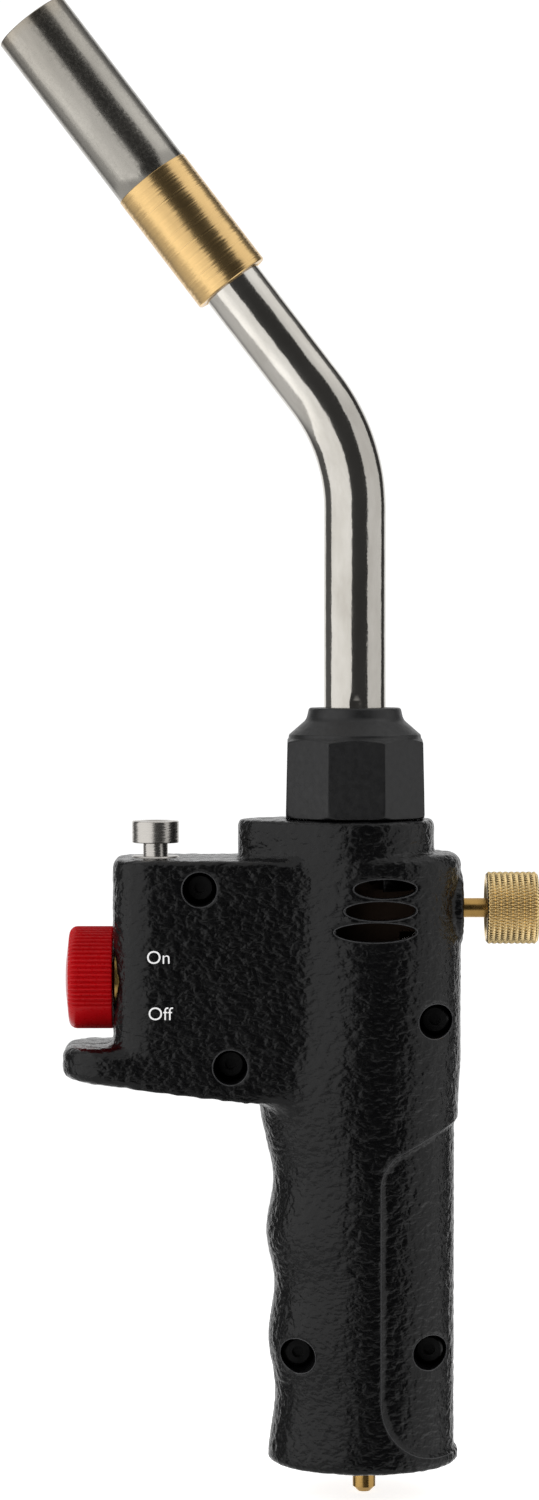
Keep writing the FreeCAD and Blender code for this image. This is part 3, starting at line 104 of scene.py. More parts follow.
class Graph:
    """A new node material with short calls for the nodes used here."""

    def __init__(self, name):
        self.material = bpy.data.materials.new(name)
        self.material.use_nodes = True
        self.tree = self.material.node_tree
        self.shader = self.tree.nodes["Principled BSDF"]

    def node(self, kind, inputs=None, **settings):
        made = self.tree.nodes.new(kind)
        for name, setting in settings.items():
            setattr(made, name, setting)
        for name, source in (inputs or {}).items():
            self.link(source, made.inputs[name])
        return made

    def link(self, source, target):
        if isinstance(source, bpy.types.NodeSocket):
            self.tree.links.new(source, target)
        else:
            target.default_value = source

    def surface(self, **inputs):
        for name, source in inputs.items():
            self.link(source, self.shader.inputs[name.replace("_", " ")])

    def stretched(self, vector, scale):
        return self.node("ShaderNodeMapping", {"Vector": vector, "Scale": scale}).outputs["Vector"]

    def place(self):
        return self.node("ShaderNodeTexCoord").outputs["Object"]

    def lay(self, scale=(1, 1, 1)):
        """Place on the unbent piece: across, across and along its own axis."""
        made = self.node("ShaderNodeAttribute", attribute_name="lay")
        return self.stretched(made.outputs["Vector"], scale)

    def noise(self, vector, scale, detail=4.0, roughness=0.55):
        made = self.node("ShaderNodeTexNoise", {
            "Vector": vector, "Scale": scale, "Detail": detail, "Roughness": roughness})
        return made.outputs["Fac"]

    def spread(self, value, low, high, start=0.0, end=1.0):
        made = self.node("ShaderNodeMapRange", {
            "Value": value, "From Min": start, "From Max": end, "To Min": low, "To Max": high})
        return made.outputs["Result"]

    def maths(self, operation, first, second):
        return self.node("ShaderNodeMath", {0: first, 1: second}, operation=operation).outputs[0]

    def ramp(self, value, stops):
        made = self.node("ShaderNodeValToRGB", {"Fac": value})
        elements = made.color_ramp.elements
        while len(elements) < len(stops):
            elements.new(0.5)
        for element, (place, colour) in zip(elements, stops):
            element.position = place
            element.color = (*colour, 1.0)
        return made.outputs["Color"]

    def bump(self, height, distance, strength=1.0, before=None):
        made = self.node("ShaderNodeBump", {
            "Height": height, "Strength": strength, "Distance": distance})
        if before is not None:
            self.link(before, made.inputs["Normal"])
        return made.outputs["Normal"]

    def vector_maths(self, operation, first, second):
        made = self.node("ShaderNodeVectorMath", {0: first, 1: second}, operation=operation)
        return made.outputs["Vector"]

    def scaled(self, vector, amount):
        made = self.node("ShaderNodeVectorMath", {0: vector, "Scale": amount}, operation="SCALE")
        return made.outputs["Vector"]

    def brushed(self, grain, amount):
        """The surface normal swung around the piece's own axis by the grain."""
        axis = self.node("ShaderNodeAttribute", attribute_name="axis").outputs["Vector"]
        axis = self.node("ShaderNodeVectorTransform", {"Vector": axis}, vector_type="VECTOR",
                         convert_from="OBJECT", convert_to="WORLD").outputs["Vector"]
        normal = self.node("ShaderNodeNewGeometry").outputs["Normal"]
        around = self.vector_maths("CROSS_PRODUCT", axis, normal)
        swing = self.scaled(around, self.spread(grain, -amount, amount, 0.25, 0.75))
        total = self.vector_maths("ADD", normal, swing)
        made = self.node("ShaderNodeVectorMath", {0: total}, operation="NORMALIZE")
        return made.outputs["Vector"]


def darker(colour, share):
    return tuple(share * part for part in colour)


def wrinkled_plastic():
    """Glossy black moulding with the fine wrinkled grain of its mould."""
    g = Graph("handle_plastic")
    place = g.place()
    drift = g.node("ShaderNodeTexNoise", {"Vector": place, "Scale": 420.0, "Detail": 1.0})
    bent = g.vector_maths("ADD", place, g.scaled(drift.outputs["Color"], 0.0009))
    wrinkles = g.noise(g.stretched(bent, (0.75, 1, 1.2)), 950, 1.5, 0.5)
    pores = g.noise(place, 3200, 2.0)
    coarse = g.bump(wrinkles, 0.00026, 1.0)
    normal = g.bump(pores, 0.00002, 0.5, coarse)
    tone = g.noise(place, 45, 3.0)
    g.surface(Base_Color=g.ramp(tone, [(0.3, (0.0022, 0.0022, 0.0025)),
                                       (0.7, (0.0036, 0.0036, 0.0041))]),
              Roughness=g.spread(wrinkles, 0.20, 0.32, 0.3, 0.7), Normal=normal,
              Specular_IOR_Level=0.32)
    return g.material


def painted_highlight_edge():
    """The mould's parting edges, glossier than the grained skin, and coloured far lighter than it as a painted
    highlight along those edges.
    """
    g = Graph("edge_line_painted_highlight")
    fine = g.noise(g.place(), 1400, 3.0)
    # grey far lighter than the black skin: painted highlight of the edges
    g.surface(Base_Color=g.ramp(fine, [(0.3, (0.030, 0.030, 0.032)), (0.7, (0.050, 0.050, 0.053))]),
              Roughness=g.spread(fine, 0.16, 0.30, 0.3, 0.7), Normal=g.bump(fine, 0.00002, 0.4))
    return g.material


def satin_plastic(name, colour, low, high, grain=900, depth=0.00003):
    g = Graph(name)
    fine = g.noise(g.place(), grain, 4.0)
    tone = g.noise(g.place(), 70, 3.0)
    g.surface(Base_Color=g.ramp(tone, [(0.3, darker(colour, 0.8)), (0.7, colour)]),
              Roughness=g.spread(fine, low, high, 0.3, 0.7), Normal=g.bump(fine, depth, 0.5))
    return g.material


def red_plastic():
    g = Graph("knob_red")
    fine = g.noise(g.place(), 1500, 3.0)
    tone = g.noise(g.place(), 120, 3.0)
    g.surface(Base_Color=g.ramp(tone, [(0.3, (0.56, 0.0030, 0.0065)), (0.7, (0.66, 0.0040, 0.0085))]),
              Roughness=g.spread(fine, 0.24, 0.36, 0.3, 0.7), Normal=g.bump(fine, 0.00002, 0.4),
              Specular_IOR_Level=0.24)
    return g.material


def cast_metal(name, colour, low, high, metallic=1.0, grain=900, depth=0.00003):
    g = Graph(name)
    fine = g.noise(g.place(), grain, 5.0)
    stain = g.noise(g.place(), 110, 4.0, 0.6)
    g.surface(Base_Color=g.ramp(stain, [(0.3, darker(colour, 0.72)), (0.65, colour)]),
              Metallic=metallic, Roughness=g.spread(fine, low, high, 0.3, 0.7),
              Normal=g.bump(fine, depth, 0.5))
    return g.material


def turned_metal(name, colour, low, high, swing, stain_share, across, along):
    """Metal with tool or polishing marks that run round the piece."""
    g = Graph(name)
    lines = g.noise(g.lay((across, across, along)), 1.0, 3.0, 0.6)
    stain = g.noise(g.lay((1, 1, 0.5)), 90, 4.0, 0.6)
    g.surface(Base_Color=g.ramp(stain, [(0.25, darker(colour, stain_share)), (0.6, colour)]),
              Metallic=1.0, Roughness=g.spread(lines, low, high, 0.3, 0.7),
              Normal=g.brushed(lines, swing))
    return g.material


def drawn_steel():
    """Polished tube with a speckle of short scratches."""
    g = Graph("tube_steel")
    scratches = g.noise(g.lay((1500, 1500, 240)), 1.0, 5.0, 0.68)
    specks = g.noise(g.lay((1, 1, 1)), 3200, 3.0, 0.7)
    both = g.maths("ADD", g.maths("MULTIPLY", scratches, 0.6), g.maths("MULTIPLY", specks, 0.4))
    stain = g.noise(g.lay((1, 1, 0.4)), 120, 5.0, 0.6)
    g.surface(Base_Color=g.ramp(stain, [(0.3, (0.50, 0.475, 0.43)), (0.62, (0.64, 0.615, 0.57))]),
              Metallic=1.0, Roughness=g.spread(specks, 0.07, 0.16, 0.35, 0.65),
              Normal=g.brushed(both, 0.06))
    return g.material


def heated_steel(mouth):
    """Satin flame tube, browned where the flame heats its mouth."""
    g = Graph("flame_tube_steel")
    streaks = g.noise(g.lay((1500, 1500, 90)), 1.0, 4.0, 0.6)
    specks = g.noise(g.lay((1, 1, 1)), 1700, 3.0, 0.7)
    both = g.maths("ADD", g.maths("MULTIPLY", streaks, 0.5), g.maths("MULTIPLY", specks, 0.5))
    along = g.node("ShaderNodeSeparateXYZ", {"Vector": g.lay()}).outputs["Z"]
    blotch = g.spread(g.noise(g.lay(), 160, 4.0), -0.003, 0.003)
    heat = g.spread(g.maths("ADD", along, blotch), 0.0, 1.0, mouth - 30 * MM, mouth)
    tint = g.ramp(heat, [(0.0, (0.370, 0.352, 0.318)), (0.70, (0.360, 0.338, 0.300)),
                         (0.90, (0.385, 0.332, 0.258)), (1.0, (0.320, 0.258, 0.195))])
    stain = g.spread(g.noise(g.lay((1, 1, 0.3)), 140, 5.0, 0.6), 0.78, 1.12, 0.3, 0.7)
    colour = g.vector_maths("MULTIPLY", tint, stain)
    g.surface(Base_Color=colour, Metallic=1.0,
              Roughness=g.spread(specks, 0.17, 0.28, 0.35, 0.65), Normal=g.brushed(both, 0.06))
    return g.material


def glowing_white_print():
    g = Graph("print_white_glowing")
    wear = g.noise(g.place(), 1800, 4.0)
    white = g.ramp(wear, [(0.25, (0.80, 0.80, 0.80)), (0.5, (0.92, 0.92, 0.92))])
    # The print's white also glows faintly: painted light added to its real white.
    g.surface(Base_Color=white, Roughness=g.spread(wear, 0.4, 0.6), Emission_Color=white,
              Emission_Strength=0.35)
    return g.material


STEEL = (0.56, 0.535, 0.50)
FLAME_MOUTH = (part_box("flame_tube")[1].z - ELBOW.z) / ARM.z
MATERIALS = {
    "handle_plastic": wrinkled_plastic(),
    "edge_line_painted_highlight": painted_highlight_edge(),
    "nut_black": satin_plastic("nut_black", (0.0085, 0.0085, 0.0092), 0.36, 0.50),
    "screw_steel": cast_metal("screw_steel", STEEL, 0.25, 0.4),
    "screw_black": cast_metal("screw_black", (0.006, 0.006, 0.0062), 0.30, 0.45, metallic=0.5),
    "brass": cast_metal("brass", (0.62, 0.38, 0.12), 0.16, 0.30),
    "seal_rubber": satin_plastic("seal_rubber", (0.012, 0.012, 0.012), 0.5, 0.7),
    "zinc_casting": cast_metal("zinc_casting", (0.42, 0.42, 0.42), 0.4, 0.6),
    "copper_tube": cast_metal("copper_tube", (0.75, 0.38, 0.24), 0.2, 0.35),
    "lead_insulation": satin_plastic("lead_insulation", (0.02, 0.02, 0.02), 0.4, 0.6),
    "igniter_plastic": satin_plastic("igniter_plastic", (0.02, 0.02, 0.022), 0.4, 0.55),
    "tube_steel": drawn_steel(),
    "sleeve_brass": turned_metal("sleeve_brass", (0.74, 0.50, 0.22), 0.20, 0.28, swing=0.085,
                                 stain_share=0.82, across=50, along=4400),
    "flame_tube_steel": heated_steel(FLAME_MOUTH),
    "ceramic_white": satin_plastic("ceramic_white", (0.80, 0.79, 0.75), 0.2, 0.3),
    "knob_red": red_plastic(),
    "button_steel": turned_metal("button_steel", STEEL, 0.20, 0.32, swing=0.10,
                                 stain_share=0.9, across=200, along=9000),
    "knurled_brass": cast_metal("knurled_brass", (0.98, 0.74, 0.37), 0.20, 0.32, grain=2400,
                                depth=0.00001),
}
GLOWING_PRINT = glowing_white_print()
# Brass parts inside the housing coloured near black: painted shade for the dark inside behind the vents, not the
# brass's own colour.
BRASS_PAINTED_SHADE = cast_metal("brass_painted_shade", (0.045, 0.030, 0.022), 0.45, 0.6)
BEHIND_VENTS = ("valve_body", "mixing_tube", "air_screen", "jet", "needle_gland")
for node, piece in NODES.items():
    piece.data.materials.clear()
    piece.data.materials.append(BRASS_PAINTED_SHADE if node in BEHIND_VENTS else MATERIALS[SLOT_OF[node]])


# ------------------------------------------------------------------ mesh helpers

# points nearer than this are one; a radius this near to a limit counts as on it
SAME_PLACE = 2e-7
ROUNDING = 0.05 * MM


@contextlib.contextmanager
def reshaped(mesh):
    """The mesh opened for editing, and stored again afterwards."""
    shape = bmesh.new()
    shape.from_mesh(mesh)
    yield shape
    shape.to_mesh(mesh)
    shape.free()


def new_piece(name, points, faces, material):
    mesh = bpy.data.meshes.new(name)
    mesh.from_pydata([tuple(point) for point in points], [], faces)
    mesh.update()
    mesh.shade_smooth()
    piece = bpy.data.objects.new(name, mesh)
    bpy.context.scene.collection.objects.link(piece)
    mesh.materials.append(material)
    return piece


def stand_for(piece, node):
    """The piece is shown for this CAD node, on its body."""
    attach(piece, BODY_OF[node])
    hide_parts(node)


def softened(corners, steps=4):
    """Outline with its corners rounded; a corner is (radius, height) or (radius, height, round)."""
    outline = []
    count = len(corners)
    for index, corner in enumerate(corners):
        here = Vector(corner[:2])
        rounding = corner[2] if len(corner) > 2 else 0.0
        if not rounding:
            outline.append(here)
            continue
        before = (Vector(corners[index - 1][:2]) - here).normalized()
        after = (Vector(corners[(index + 1) % count][:2]) - here).normalized()
        half = before.angle(after) / 2
        reach = rounding / math.tan(half)
        start, end = here + before * reach, here + after * reach
        centre = here + (before + after).normalized() * (rounding / math.sin(half))
        for step in range(steps + 1):
            share = step / steps
            spoke = (start - centre).lerp(end - centre, share).normalized()
            outline.append(centre + spoke * rounding)
    return outline


def divided(corners, spacing, closed=True, beyond=0.0):
    """Outline whose stretches past a radius are divided into parts of about the spacing."""
    line = []
    for first, second in zip(corners, corners[1:] + corners[:1] if closed else corners[1:]):
        parts = max(1, round((second - first).length / spacing)) if first.x > beyond else 1
        line += [first.lerp(second, part / parts) for part in range(parts)]
    return line


def swept(name, outline, frames, segments, material, ripple=None, closed=True):
    """Skin over rings: one ring of points for each outline corner, turned about its own frame.

    The outline holds (radius, height); frames(height) gives the ring's centre and turn. ripple
    takes (angle, radius, height) and gives the radius there. An open outline ends on the axis.
    """
    points, lay, axes = [], [], []
    for radius, height in outline:
        place = frames(height)
        axis = place.to_3x3() @ Vector((0, 0, 1))
        for step in range(segments):
            angle = 2 * math.pi * step / segments
            r = ripple(angle, radius, height) if ripple else radius
            points.append(place @ Vector((r * math.cos(angle), r * math.sin(angle), 0)))
            lay.append((r * math.cos(angle), r * math.sin(angle), height))
            axes.append(tuple(axis))
    faces = []
    rows = len(outline)
    for row in range(rows if closed else rows - 1):
        following = (row + 1) % rows
        for step in range(segments):
            beside = (step + 1) % segments
            faces.append((row * segments + step, row * segments + beside,
                          following * segments + beside, following * segments + step))
    piece = new_piece(name, points, faces, material)
    for label, vectors in (("lay", lay), ("axis", axes)):
        attribute = piece.data.attributes.new(label, "FLOAT_VECTOR", "POINT")
        attribute.data.foreach_set("vector", [part for vector in vectors for part in vector])
    if not closed:
        with reshaped(piece.data) as shape:
            bmesh.ops.remove_doubles(shape, verts=shape.verts, dist=SAME_PLACE)
    outward(piece)
    weighted = piece.modifiers.new("even_shading", "WEIGHTED_NORMAL")
    weighted.keep_sharp = True
    return piece


def outward(piece):
    with reshaped(piece.data) as shape:
        bmesh.ops.recalc_face_normals(shape, faces=shape.faces)


def upright_frames(x):
    return lambda height: Matrix.Translation((x, 0, height))


def turned_frames(base):
    return lambda height: base @ Matrix.Translation((0, 0, height))


def millimetres(corners):
    return [tuple(MM * part for part in corner) for corner in corners]


# ------------------------------------------------------------------ burner

TUBE_RADIUS, TUBE_BORE = 6.35 * MM, 5.35 * MM
BEND = 39.0 * MM
TANGENT = BEND * math.tan(ARM_TURN / 2)
BEND_START = ELBOW.z - TANGENT
TUBE_END, SLEEVE_END, FLAME_END = 61.0, 68.2, 108.5


def burner_frames(height):
    """Frames along the bent tube, by the height that the place had before it was bent."""
    if height <= BEND_START:
        return Matrix.Translation((SWIVEL.x, 0, height))
    turned = (height - BEND_START) / BEND
    if turned < ARM_TURN:
        centre = Vector((SWIVEL.x - BEND, 0, BEND_START))
        place = centre + Vector((BEND * math.cos(turned), 0, BEND * math.sin(turned)))
        return Matrix.Translation(place) @ Matrix.Rotation(-turned, 4, "Y")
    beyond = height - BEND_START - BEND * ARM_TURN + TANGENT
    return ON_ARM @ Matrix.Translation((0, 0, beyond))


def burner_tube():
    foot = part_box("burner_tube")[0].z
    end = BEND_START + BEND * ARM_TURN + TUBE_END * MM - TANGENT
    rows = 150
    heights = [foot + (end - foot) * row / rows for row in range(rows + 1)]
    outline = [(TUBE_RADIUS, height) for height in heights]
    outline += [(TUBE_BORE, height) for height in reversed(heights)]
    dent_angle, dent_height = math.radians(-88), 155.9 * MM
    dent_radius, dent_depth = 1.1 * MM, 0.35 * MM

    def dimple(angle, radius, height):
        """Small dent at the tube's foot that keys the ferrule, on the viewer's side."""
        if radius < TUBE_RADIUS - ROUNDING:
            return radius
        across = math.remainder(angle - dent_angle, 2 * math.pi) * radius
        away = math.hypot(across, height - dent_height) / dent_radius
        return radius - dent_depth * math.exp(-away ** 4)

    piece = swept("burner_tube_skin", outline, burner_frames, 128, MATERIALS["tube_steel"], dimple)
    stand_for(piece, "burner_tube")


def sleeve():
    outline = softened(millimetres([
        (6.35, 41.3), (8.18, 41.3, 0.35), (8.18, SLEEVE_END, 0.12), (7.2, SLEEVE_END),
        (7.2, 73.0), (5.3, 73.0), (5.3, TUBE_END), (6.35, TUBE_END)]))
    piece = swept("brass_sleeve", outline, turned_frames(ON_ARM), 160, MATERIALS["sleeve_brass"])
    stand_for(piece, "burner_sleeve")


def flame_tube():
    outline = softened(millimetres([
        (7.2, SLEEVE_END), (8.0, SLEEVE_END), (8.0, FLAME_END, 0.22), (7.2, FLAME_END, 0.22)]))
    piece = swept("flame_tube_skin", divided(outline, 3 * MM), turned_frames(ON_ARM), 160,
                  MATERIALS["flame_tube_steel"])
    stand_for(piece, "flame_tube")


# ------------------------------------------------------------------ knobs and button

def on_off_knob():
    """Domed red knob with rounded flutes and one smooth pointer band."""
    ribs, band, pointer = 58, math.radians(20), math.radians(219)
    steps_per_rib = 18
    rib_depth, fade_end, fade_length = 0.6 * MM, 5.7 * MM, 1.4 * MM
    fluted_from = 8.6 * MM
    outline = softened(millimetres([
        (3.0, -3.5), (10.5, -3.5, 0.35), (10.5, 5.4, 1.7), (3.8, 6.2, 1.5), (2.7, 6.2, 0.25),
        (2.7, 4.5, 0.2), (1.25, 4.5), (1.25, 3.5), (3.0, 3.5)]), 7)

    def flute(angle, radius, height):
        away = abs(math.remainder(angle - pointer, 2 * math.pi))
        if radius < fluted_from or away < band:
            return radius
        share = (angle - pointer - band) / (2 * math.pi - 2 * band) * ribs
        hollow = (1 - math.cos(2 * math.pi * (share % 1.0))) / 2
        fade = min(1.0, max(0.0, (fade_end - height) / fade_length))
        return radius - rib_depth * hollow * math.sin(fade * math.pi / 2)

    base = Matrix.Translation(KNOB_AXIS) @ TO_FRONT
    piece = swept("red_knob", divided(outline, 0.6 * MM, beyond=9 * MM), turned_frames(base),
                  ribs * steps_per_rib, MATERIALS["knob_red"], flute)
    stand_for(piece, "on_off_knob")


def flame_knob():
    """Brass thumb knob with a diamond knurl."""
    low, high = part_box("flame_knob")
    start, width = low.x - NEEDLE_AXIS.x, high.x - low.x
    around, along = 60, 4
    step_count = 16 * along
    edge, rim, knurl_depth = 0.55 * MM, 7.4 * MM, 0.5 * MM
    outline = [Vector((0.0, start + 0.6 * MM)), Vector((5.6 * MM, start + 0.6 * MM)),
               Vector((6.0 * MM, start)), Vector((rim - edge, start))]
    inner = width - 2 * edge
    outline += [Vector((rim, start + edge + inner * step / step_count))
                for step in range(step_count + 1)]
    outline += [Vector((rim - edge, start + width)), Vector((rim - 1.3 * MM, start + width)),
                Vector((0.0, start + width))]

    def knurl(angle, radius, height):
        if radius < rim - ROUNDING:
            return radius
        turn = around * angle / (2 * math.pi)
        climb = along * (height - start - edge) / inner
        first, second = (turn + climb) % 1.0, (turn - climb) % 1.0
        ridge = min(1 - abs(2 * first - 1), 1 - abs(2 * second - 1))
        return radius - knurl_depth * (1 - min(1.0, 1.2 * ridge))

    base = Matrix.Translation(NEEDLE_AXIS) @ TO_REAR
    piece = swept("knurled_knob", outline, turned_frames(base), around * 12,
                  MATERIALS["knurled_brass"], knurl, closed=False)
    stand_for(piece, "flame_knob")


def igniter_button():
    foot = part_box("igniter_button")[0].z
    outline = softened([(radius * MM, foot + height * MM, rounding * MM)
                        for radius, height, rounding in (
        (0.0, 0.0, 0), (3.6, 0.0, 0), (3.6, 1.4, 0), (2.55, 1.4, 0), (2.55, 7.3, 0.15),
        (4.8, 7.3, 0.2), (4.8, 11.8, 0.3), (3.5, 11.8, 0.3), (2.6, 11.45, 0.3), (0.0, 11.4, 0))])
    piece = swept("button_cap", outline, upright_frames(middle("igniter_button").x), 128,
                  MATERIALS["button_steel"], closed=False)
    stand_for(piece, "igniter_button")


def button_coil():
    """Coil spring under the button, flattened by the button's stroke."""
    low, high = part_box("button_spring")
    foot = Vector((middle("button_spring").x, 0, low.z))
    wire, turns, steps = 0.3 * MM, 6, 192
    mean = (high.x - low.x) / 2 - wire
    rise = high.z - low.z - 2 * wire

    def frames(share):
        turn = 2 * math.pi * turns
        side = Vector((math.cos(turn * share), math.sin(turn * share), 0))
        ahead = Vector((-side.y * mean * turn, side.x * mean * turn, rise))
        centre = foot + mean * side + Vector((0, 0, wire + rise * share))
        return Matrix.Translation(centre) @ ahead.to_track_quat("Z", "Y").to_matrix().to_4x4()

    outline = [Vector((0, 0))] + [Vector((wire, step / steps)) for step in range(steps + 1)]
    piece = swept("button_coil", outline + [Vector((0, 1))], frames, 12,
                  MATERIALS[SLOT_OF["button_spring"]], closed=False)
    stand_for(piece, "button_spring")
    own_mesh(piece)


# ------------------------------------------------------------------ nut

def burner_nut():
    """Eight-sided tapering nut under a flared neck, with its corners turned off."""
    half_width, corner_radius, blend = 14.15, 15.22, 0.25
    foot, shoulder, lip, seat = 132.5, 148.7, 155.0, 141.4
    bore, seat_radius, skin_radius = 6.42, 8.95, 15.0
    taper = math.tan(math.radians(1.25))
    crown, crown_slope = 13.65, 2.85 / 1.6
    flare, flare_slope = 14.6, 1.2

    def shape(angle, radius, height):
        """The flats, cut by a cone above and one below, with the edges between them eased."""
        if radius < skin_radius * MM - ROUNDING:
            return radius
        level = height / MM
        flat = half_width - (level - foot) * taper
        pointed = flat / math.cos(math.remainder(angle, math.pi / 4))
        sharp = min(crown + (shoulder - level) * crown_slope,
                    flare + (level - foot) * flare_slope)
        share = max(0.0, min(1.0, 0.5 + (sharp - pointed) / (2 * blend)))
        reach = sharp + (pointed - sharp) * share - blend * share * (1 - share)
        return min(reach, corner_radius) * MM

    lower, upper, wide_step, fine_step = foot + 0.7, foot + 13.1, 1.2, 0.155
    rows = [foot, foot + 0.2, foot + 0.4, lower]
    rows += [lower + wide_step * step for step in range(1, 11)]
    rows += [upper + fine_step * step for step in range(20)]
    outline = [Vector(corner) for corner in millimetres(
        [(bore, seat), (seat_radius, seat), (seat_radius, foot)]
        + [(skin_radius, row) for row in rows])]
    top = softened(millimetres([
        (skin_radius, 148.75), (13.62, 148.75), (13.5, 149.5, 0.45), (9.95, 152.6, 2.2),
        (9.4, lip, 0.6), (bore, lip, 0.3), (bore, 150.0)]), 6)
    piece = swept("swivel_nut", outline + top[1:-1], upright_frames(SWIVEL.x), 384,
                  MATERIALS["nut_black"], shape)
    stand_for(piece, "burner_nut")


burner_tube()
sleeve()
flame_tube()
on_off_knob()
flame_knob()
igniter_button()
button_coil()
burner_nut()


# ------------------------------------------------------------------ housing

class Skin:
    """A mesh's points, edges and normals as arrays, for moving its points."""

    def __init__(self, mesh):
        self.mesh = mesh
        self.count = len(mesh.vertices)
        self.points = np.empty(self.count * 3)
        mesh.vertices.foreach_get("co", self.points)
        self.points = self.points.reshape(-1, 3)
        ends = np.empty(len(mesh.edges) * 2, dtype=np.int64)
        mesh.edges.foreach_get("vertices", ends)
        self.first, self.second = ends.reshape(-1, 2).T
        self.degree = np.bincount(ends, minlength=self.count).clip(min=1)

    def around(self):
        """Mean place of each point's neighbours."""
        total = np.empty_like(self.points)
        for axis in range(3):
            line = self.points[:, axis]
            total[:, axis] = (np.bincount(self.first, line[self.second], self.count)
                              + np.bincount(self.second, line[self.first], self.count))
        return total / self.degree[:, None]

    def relax(self, weight, rounds):
        for _ in range(rounds):
            self.points += (self.around() - self.points) * weight[:, None]

    def store(self):
        self.mesh.vertices.foreach_set("co", self.points.ravel())
        self.mesh.update()

    def normals(self):
        found = np.empty(self.count * 3)
        self.mesh.vertices.foreach_get("normal", found)
        return found.reshape(-1, 3)


def near(points, centre, reach, soft):
    """1 inside an upright box about the centre, falling to 0 over the soft margin."""
    beyond = (np.abs(points - np.array(centre)) - np.array(reach)).max(axis=1)
    return np.clip(1 - beyond / soft, 0, 1)


def remeshed(node, voxel):
    """An even closed mesh of the CAD node's shape."""
    source = bpy.data.meshes.new(node + "_source")
    shape = bmesh.new()
    shape.from_mesh(NODES[node].data)
    bmesh.ops.remove_doubles(shape, verts=shape.verts, dist=SAME_PLACE)
    shape.to_mesh(source)
    shape.free()
    work = bpy.data.objects.new(node + "_work", source)
    bpy.context.scene.collection.objects.link(work)
    remesh = work.modifiers.new("voxels", "REMESH")
    remesh.mode = "VOXEL"
    remesh.voxel_size = voxel
    remesh.use_smooth_shade = True
    shown = work.evaluated_get(bpy.context.evaluated_depsgraph_get())
    mesh = bpy.data.meshes.new_from_object(shown)
    bpy.data.objects.remove(work)
    bpy.data.meshes.remove(source)
    return mesh


def outer_share(skin, normals):
    """1 on the outside of the shell; 0 where the surface looks at another wall."""
    tree = BVHTree.FromPolygons([tuple(point) for point in skin.points],
                                [tuple(face.vertices) for face in skin.mesh.polygons])
    share = np.zeros(skin.count)
    for index in range(skin.count):
        way = Vector(normals[index])
        start = Vector(skin.points[index]) + way * 0.6 * MM
        share[index] = tree.ray_cast(start, way, 60 * MM)[0] is None
    return share


def grain_height(point):
    """Height of the moulded grain at a place in millimetres, from about -1 to 1."""
    x, y, z = point
    pitch, wander, swirl = 0.95, 0.35, 0.9
    slanted = Vector((0.62 * x + 0.25 * z, 0.8 * y, 0.85 * z - 0.25 * x))
    bend = noise.noise(slanted * wander) * swirl
    return noise.noise(slanted * pitch + Vector((bend, bend, 0)))


def housing_half(node, voxel):
    """The moulded half: eased corners, and a wrinkled grain on the outside only."""
    mesh = remeshed(node, voxel)
    skin = Skin(mesh)
    skin.relax(np.full(skin.count, 0.5), 2)
    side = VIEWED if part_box(node)[0].y < -10 * MM else FAR
    parting = np.clip(np.abs(skin.points[:, 1]) / (2 * MM), 0, 1)
    for centre, reach, soft, rounds in EASED:
        centre = (centre[0], side * centre[1], centre[2])
        weight = near(skin.points * PER_METRE, centre, reach, soft) * parting
        skin.relax(0.5 * weight, rounds)
    skin.store()
    normals = skin.normals()
    outside = outer_share(skin, normals)
    for _ in range(2):
        outside = neighbour_least(skin, outside)
    grain = np.array([grain_height(point) for point in skin.points * PER_METRE])
    skin.points += normals * (grain * outside * parting)[:, None] * GRAIN_DEPTH
    skin.store()
    piece = bpy.data.objects.new(node.replace("housing", "moulded"), mesh)
    bpy.context.scene.collection.objects.link(piece)
    mesh.materials.clear()
    mesh.materials.append(MATERIALS["handle_plastic"])
    stand_for(piece, node)
    return piece


def neighbour_least(skin, share):
    """The least share at each point and its neighbours."""
    least = share.copy()
    np.minimum.at(least, skin.first, share[skin.second])
    np.minimum.at(least, skin.second, share[skin.first])
    return least


# middle, half size and margin in millimetres, then rounds of easing
EASED = [
    ((-12, 12, 73), (7, 12, 3), 5, 60),
    ((-46, 10, 87), (7, 8, 1.5), 3, 20),
    ((-12, 13, 100), (4, 3, 24), 3, 30),
]
VOXEL = 0.53 * MM
GRAIN_DEPTH = 0.14 * MM
HALVES = {side: housing_half(node, VOXEL)
          for side, node in ((VIEWED, "left_housing_half"), (FAR, "right_housing_half"))}


def vent_shade_sheet():
    """Curved dark sheet behind the vents, outside the drilled air ring: painted shade that keeps the vents black
    inside.
    """
    low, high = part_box("air_screen")
    inner = (high.x - low.x) / 2 + 3.5 * MM
    thickness, overlap, reach = 0.4 * MM, 0.2 * MM, math.radians(64)
    points, count = [], 40
    for radius in (inner, inner + thickness):
        for level in (low.z - overlap, high.z):
            for step in range(count + 1):
                angle = reach * (2 * step / count - 1)
                points.append((SWIVEL.x + radius * math.cos(angle), radius * math.sin(angle),
                               level))
    span = count + 1
    faces = []
    for step in range(count):
        a, b, c, d = (row * span + step for row in range(4))
        faces += [(a, a + 1, b + 1, b), (c, d, d + 1, c + 1), (a, c, c + 1, a + 1),
                  (b, b + 1, d + 1, d)]
    faces += [(0, span, 3 * span, 2 * span),
              (count, 2 * span + count, 3 * span + count, span + count)]
    # the sheet is painted shade, drawn in the black screws' material
    piece = new_piece("vent_painted_shade", points, faces, MATERIALS["screw_black"])
    outward(piece)
    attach(piece, "handle")


vent_shade_sheet()


# ------------------------------------------------------------------ fine lines on the housing

def surface_finder(side):
    """Gives the point of the housing's side that lies straight in from (x, z)."""
    tree = BVHTree.FromObject(HALVES[side], bpy.context.evaluated_depsgraph_get())
    away = 100 * MM

    def find(x, z):
        return tree.ray_cast(Vector((x, side * away, z)), Vector((0, -side, 0)), away)[0]
    return find


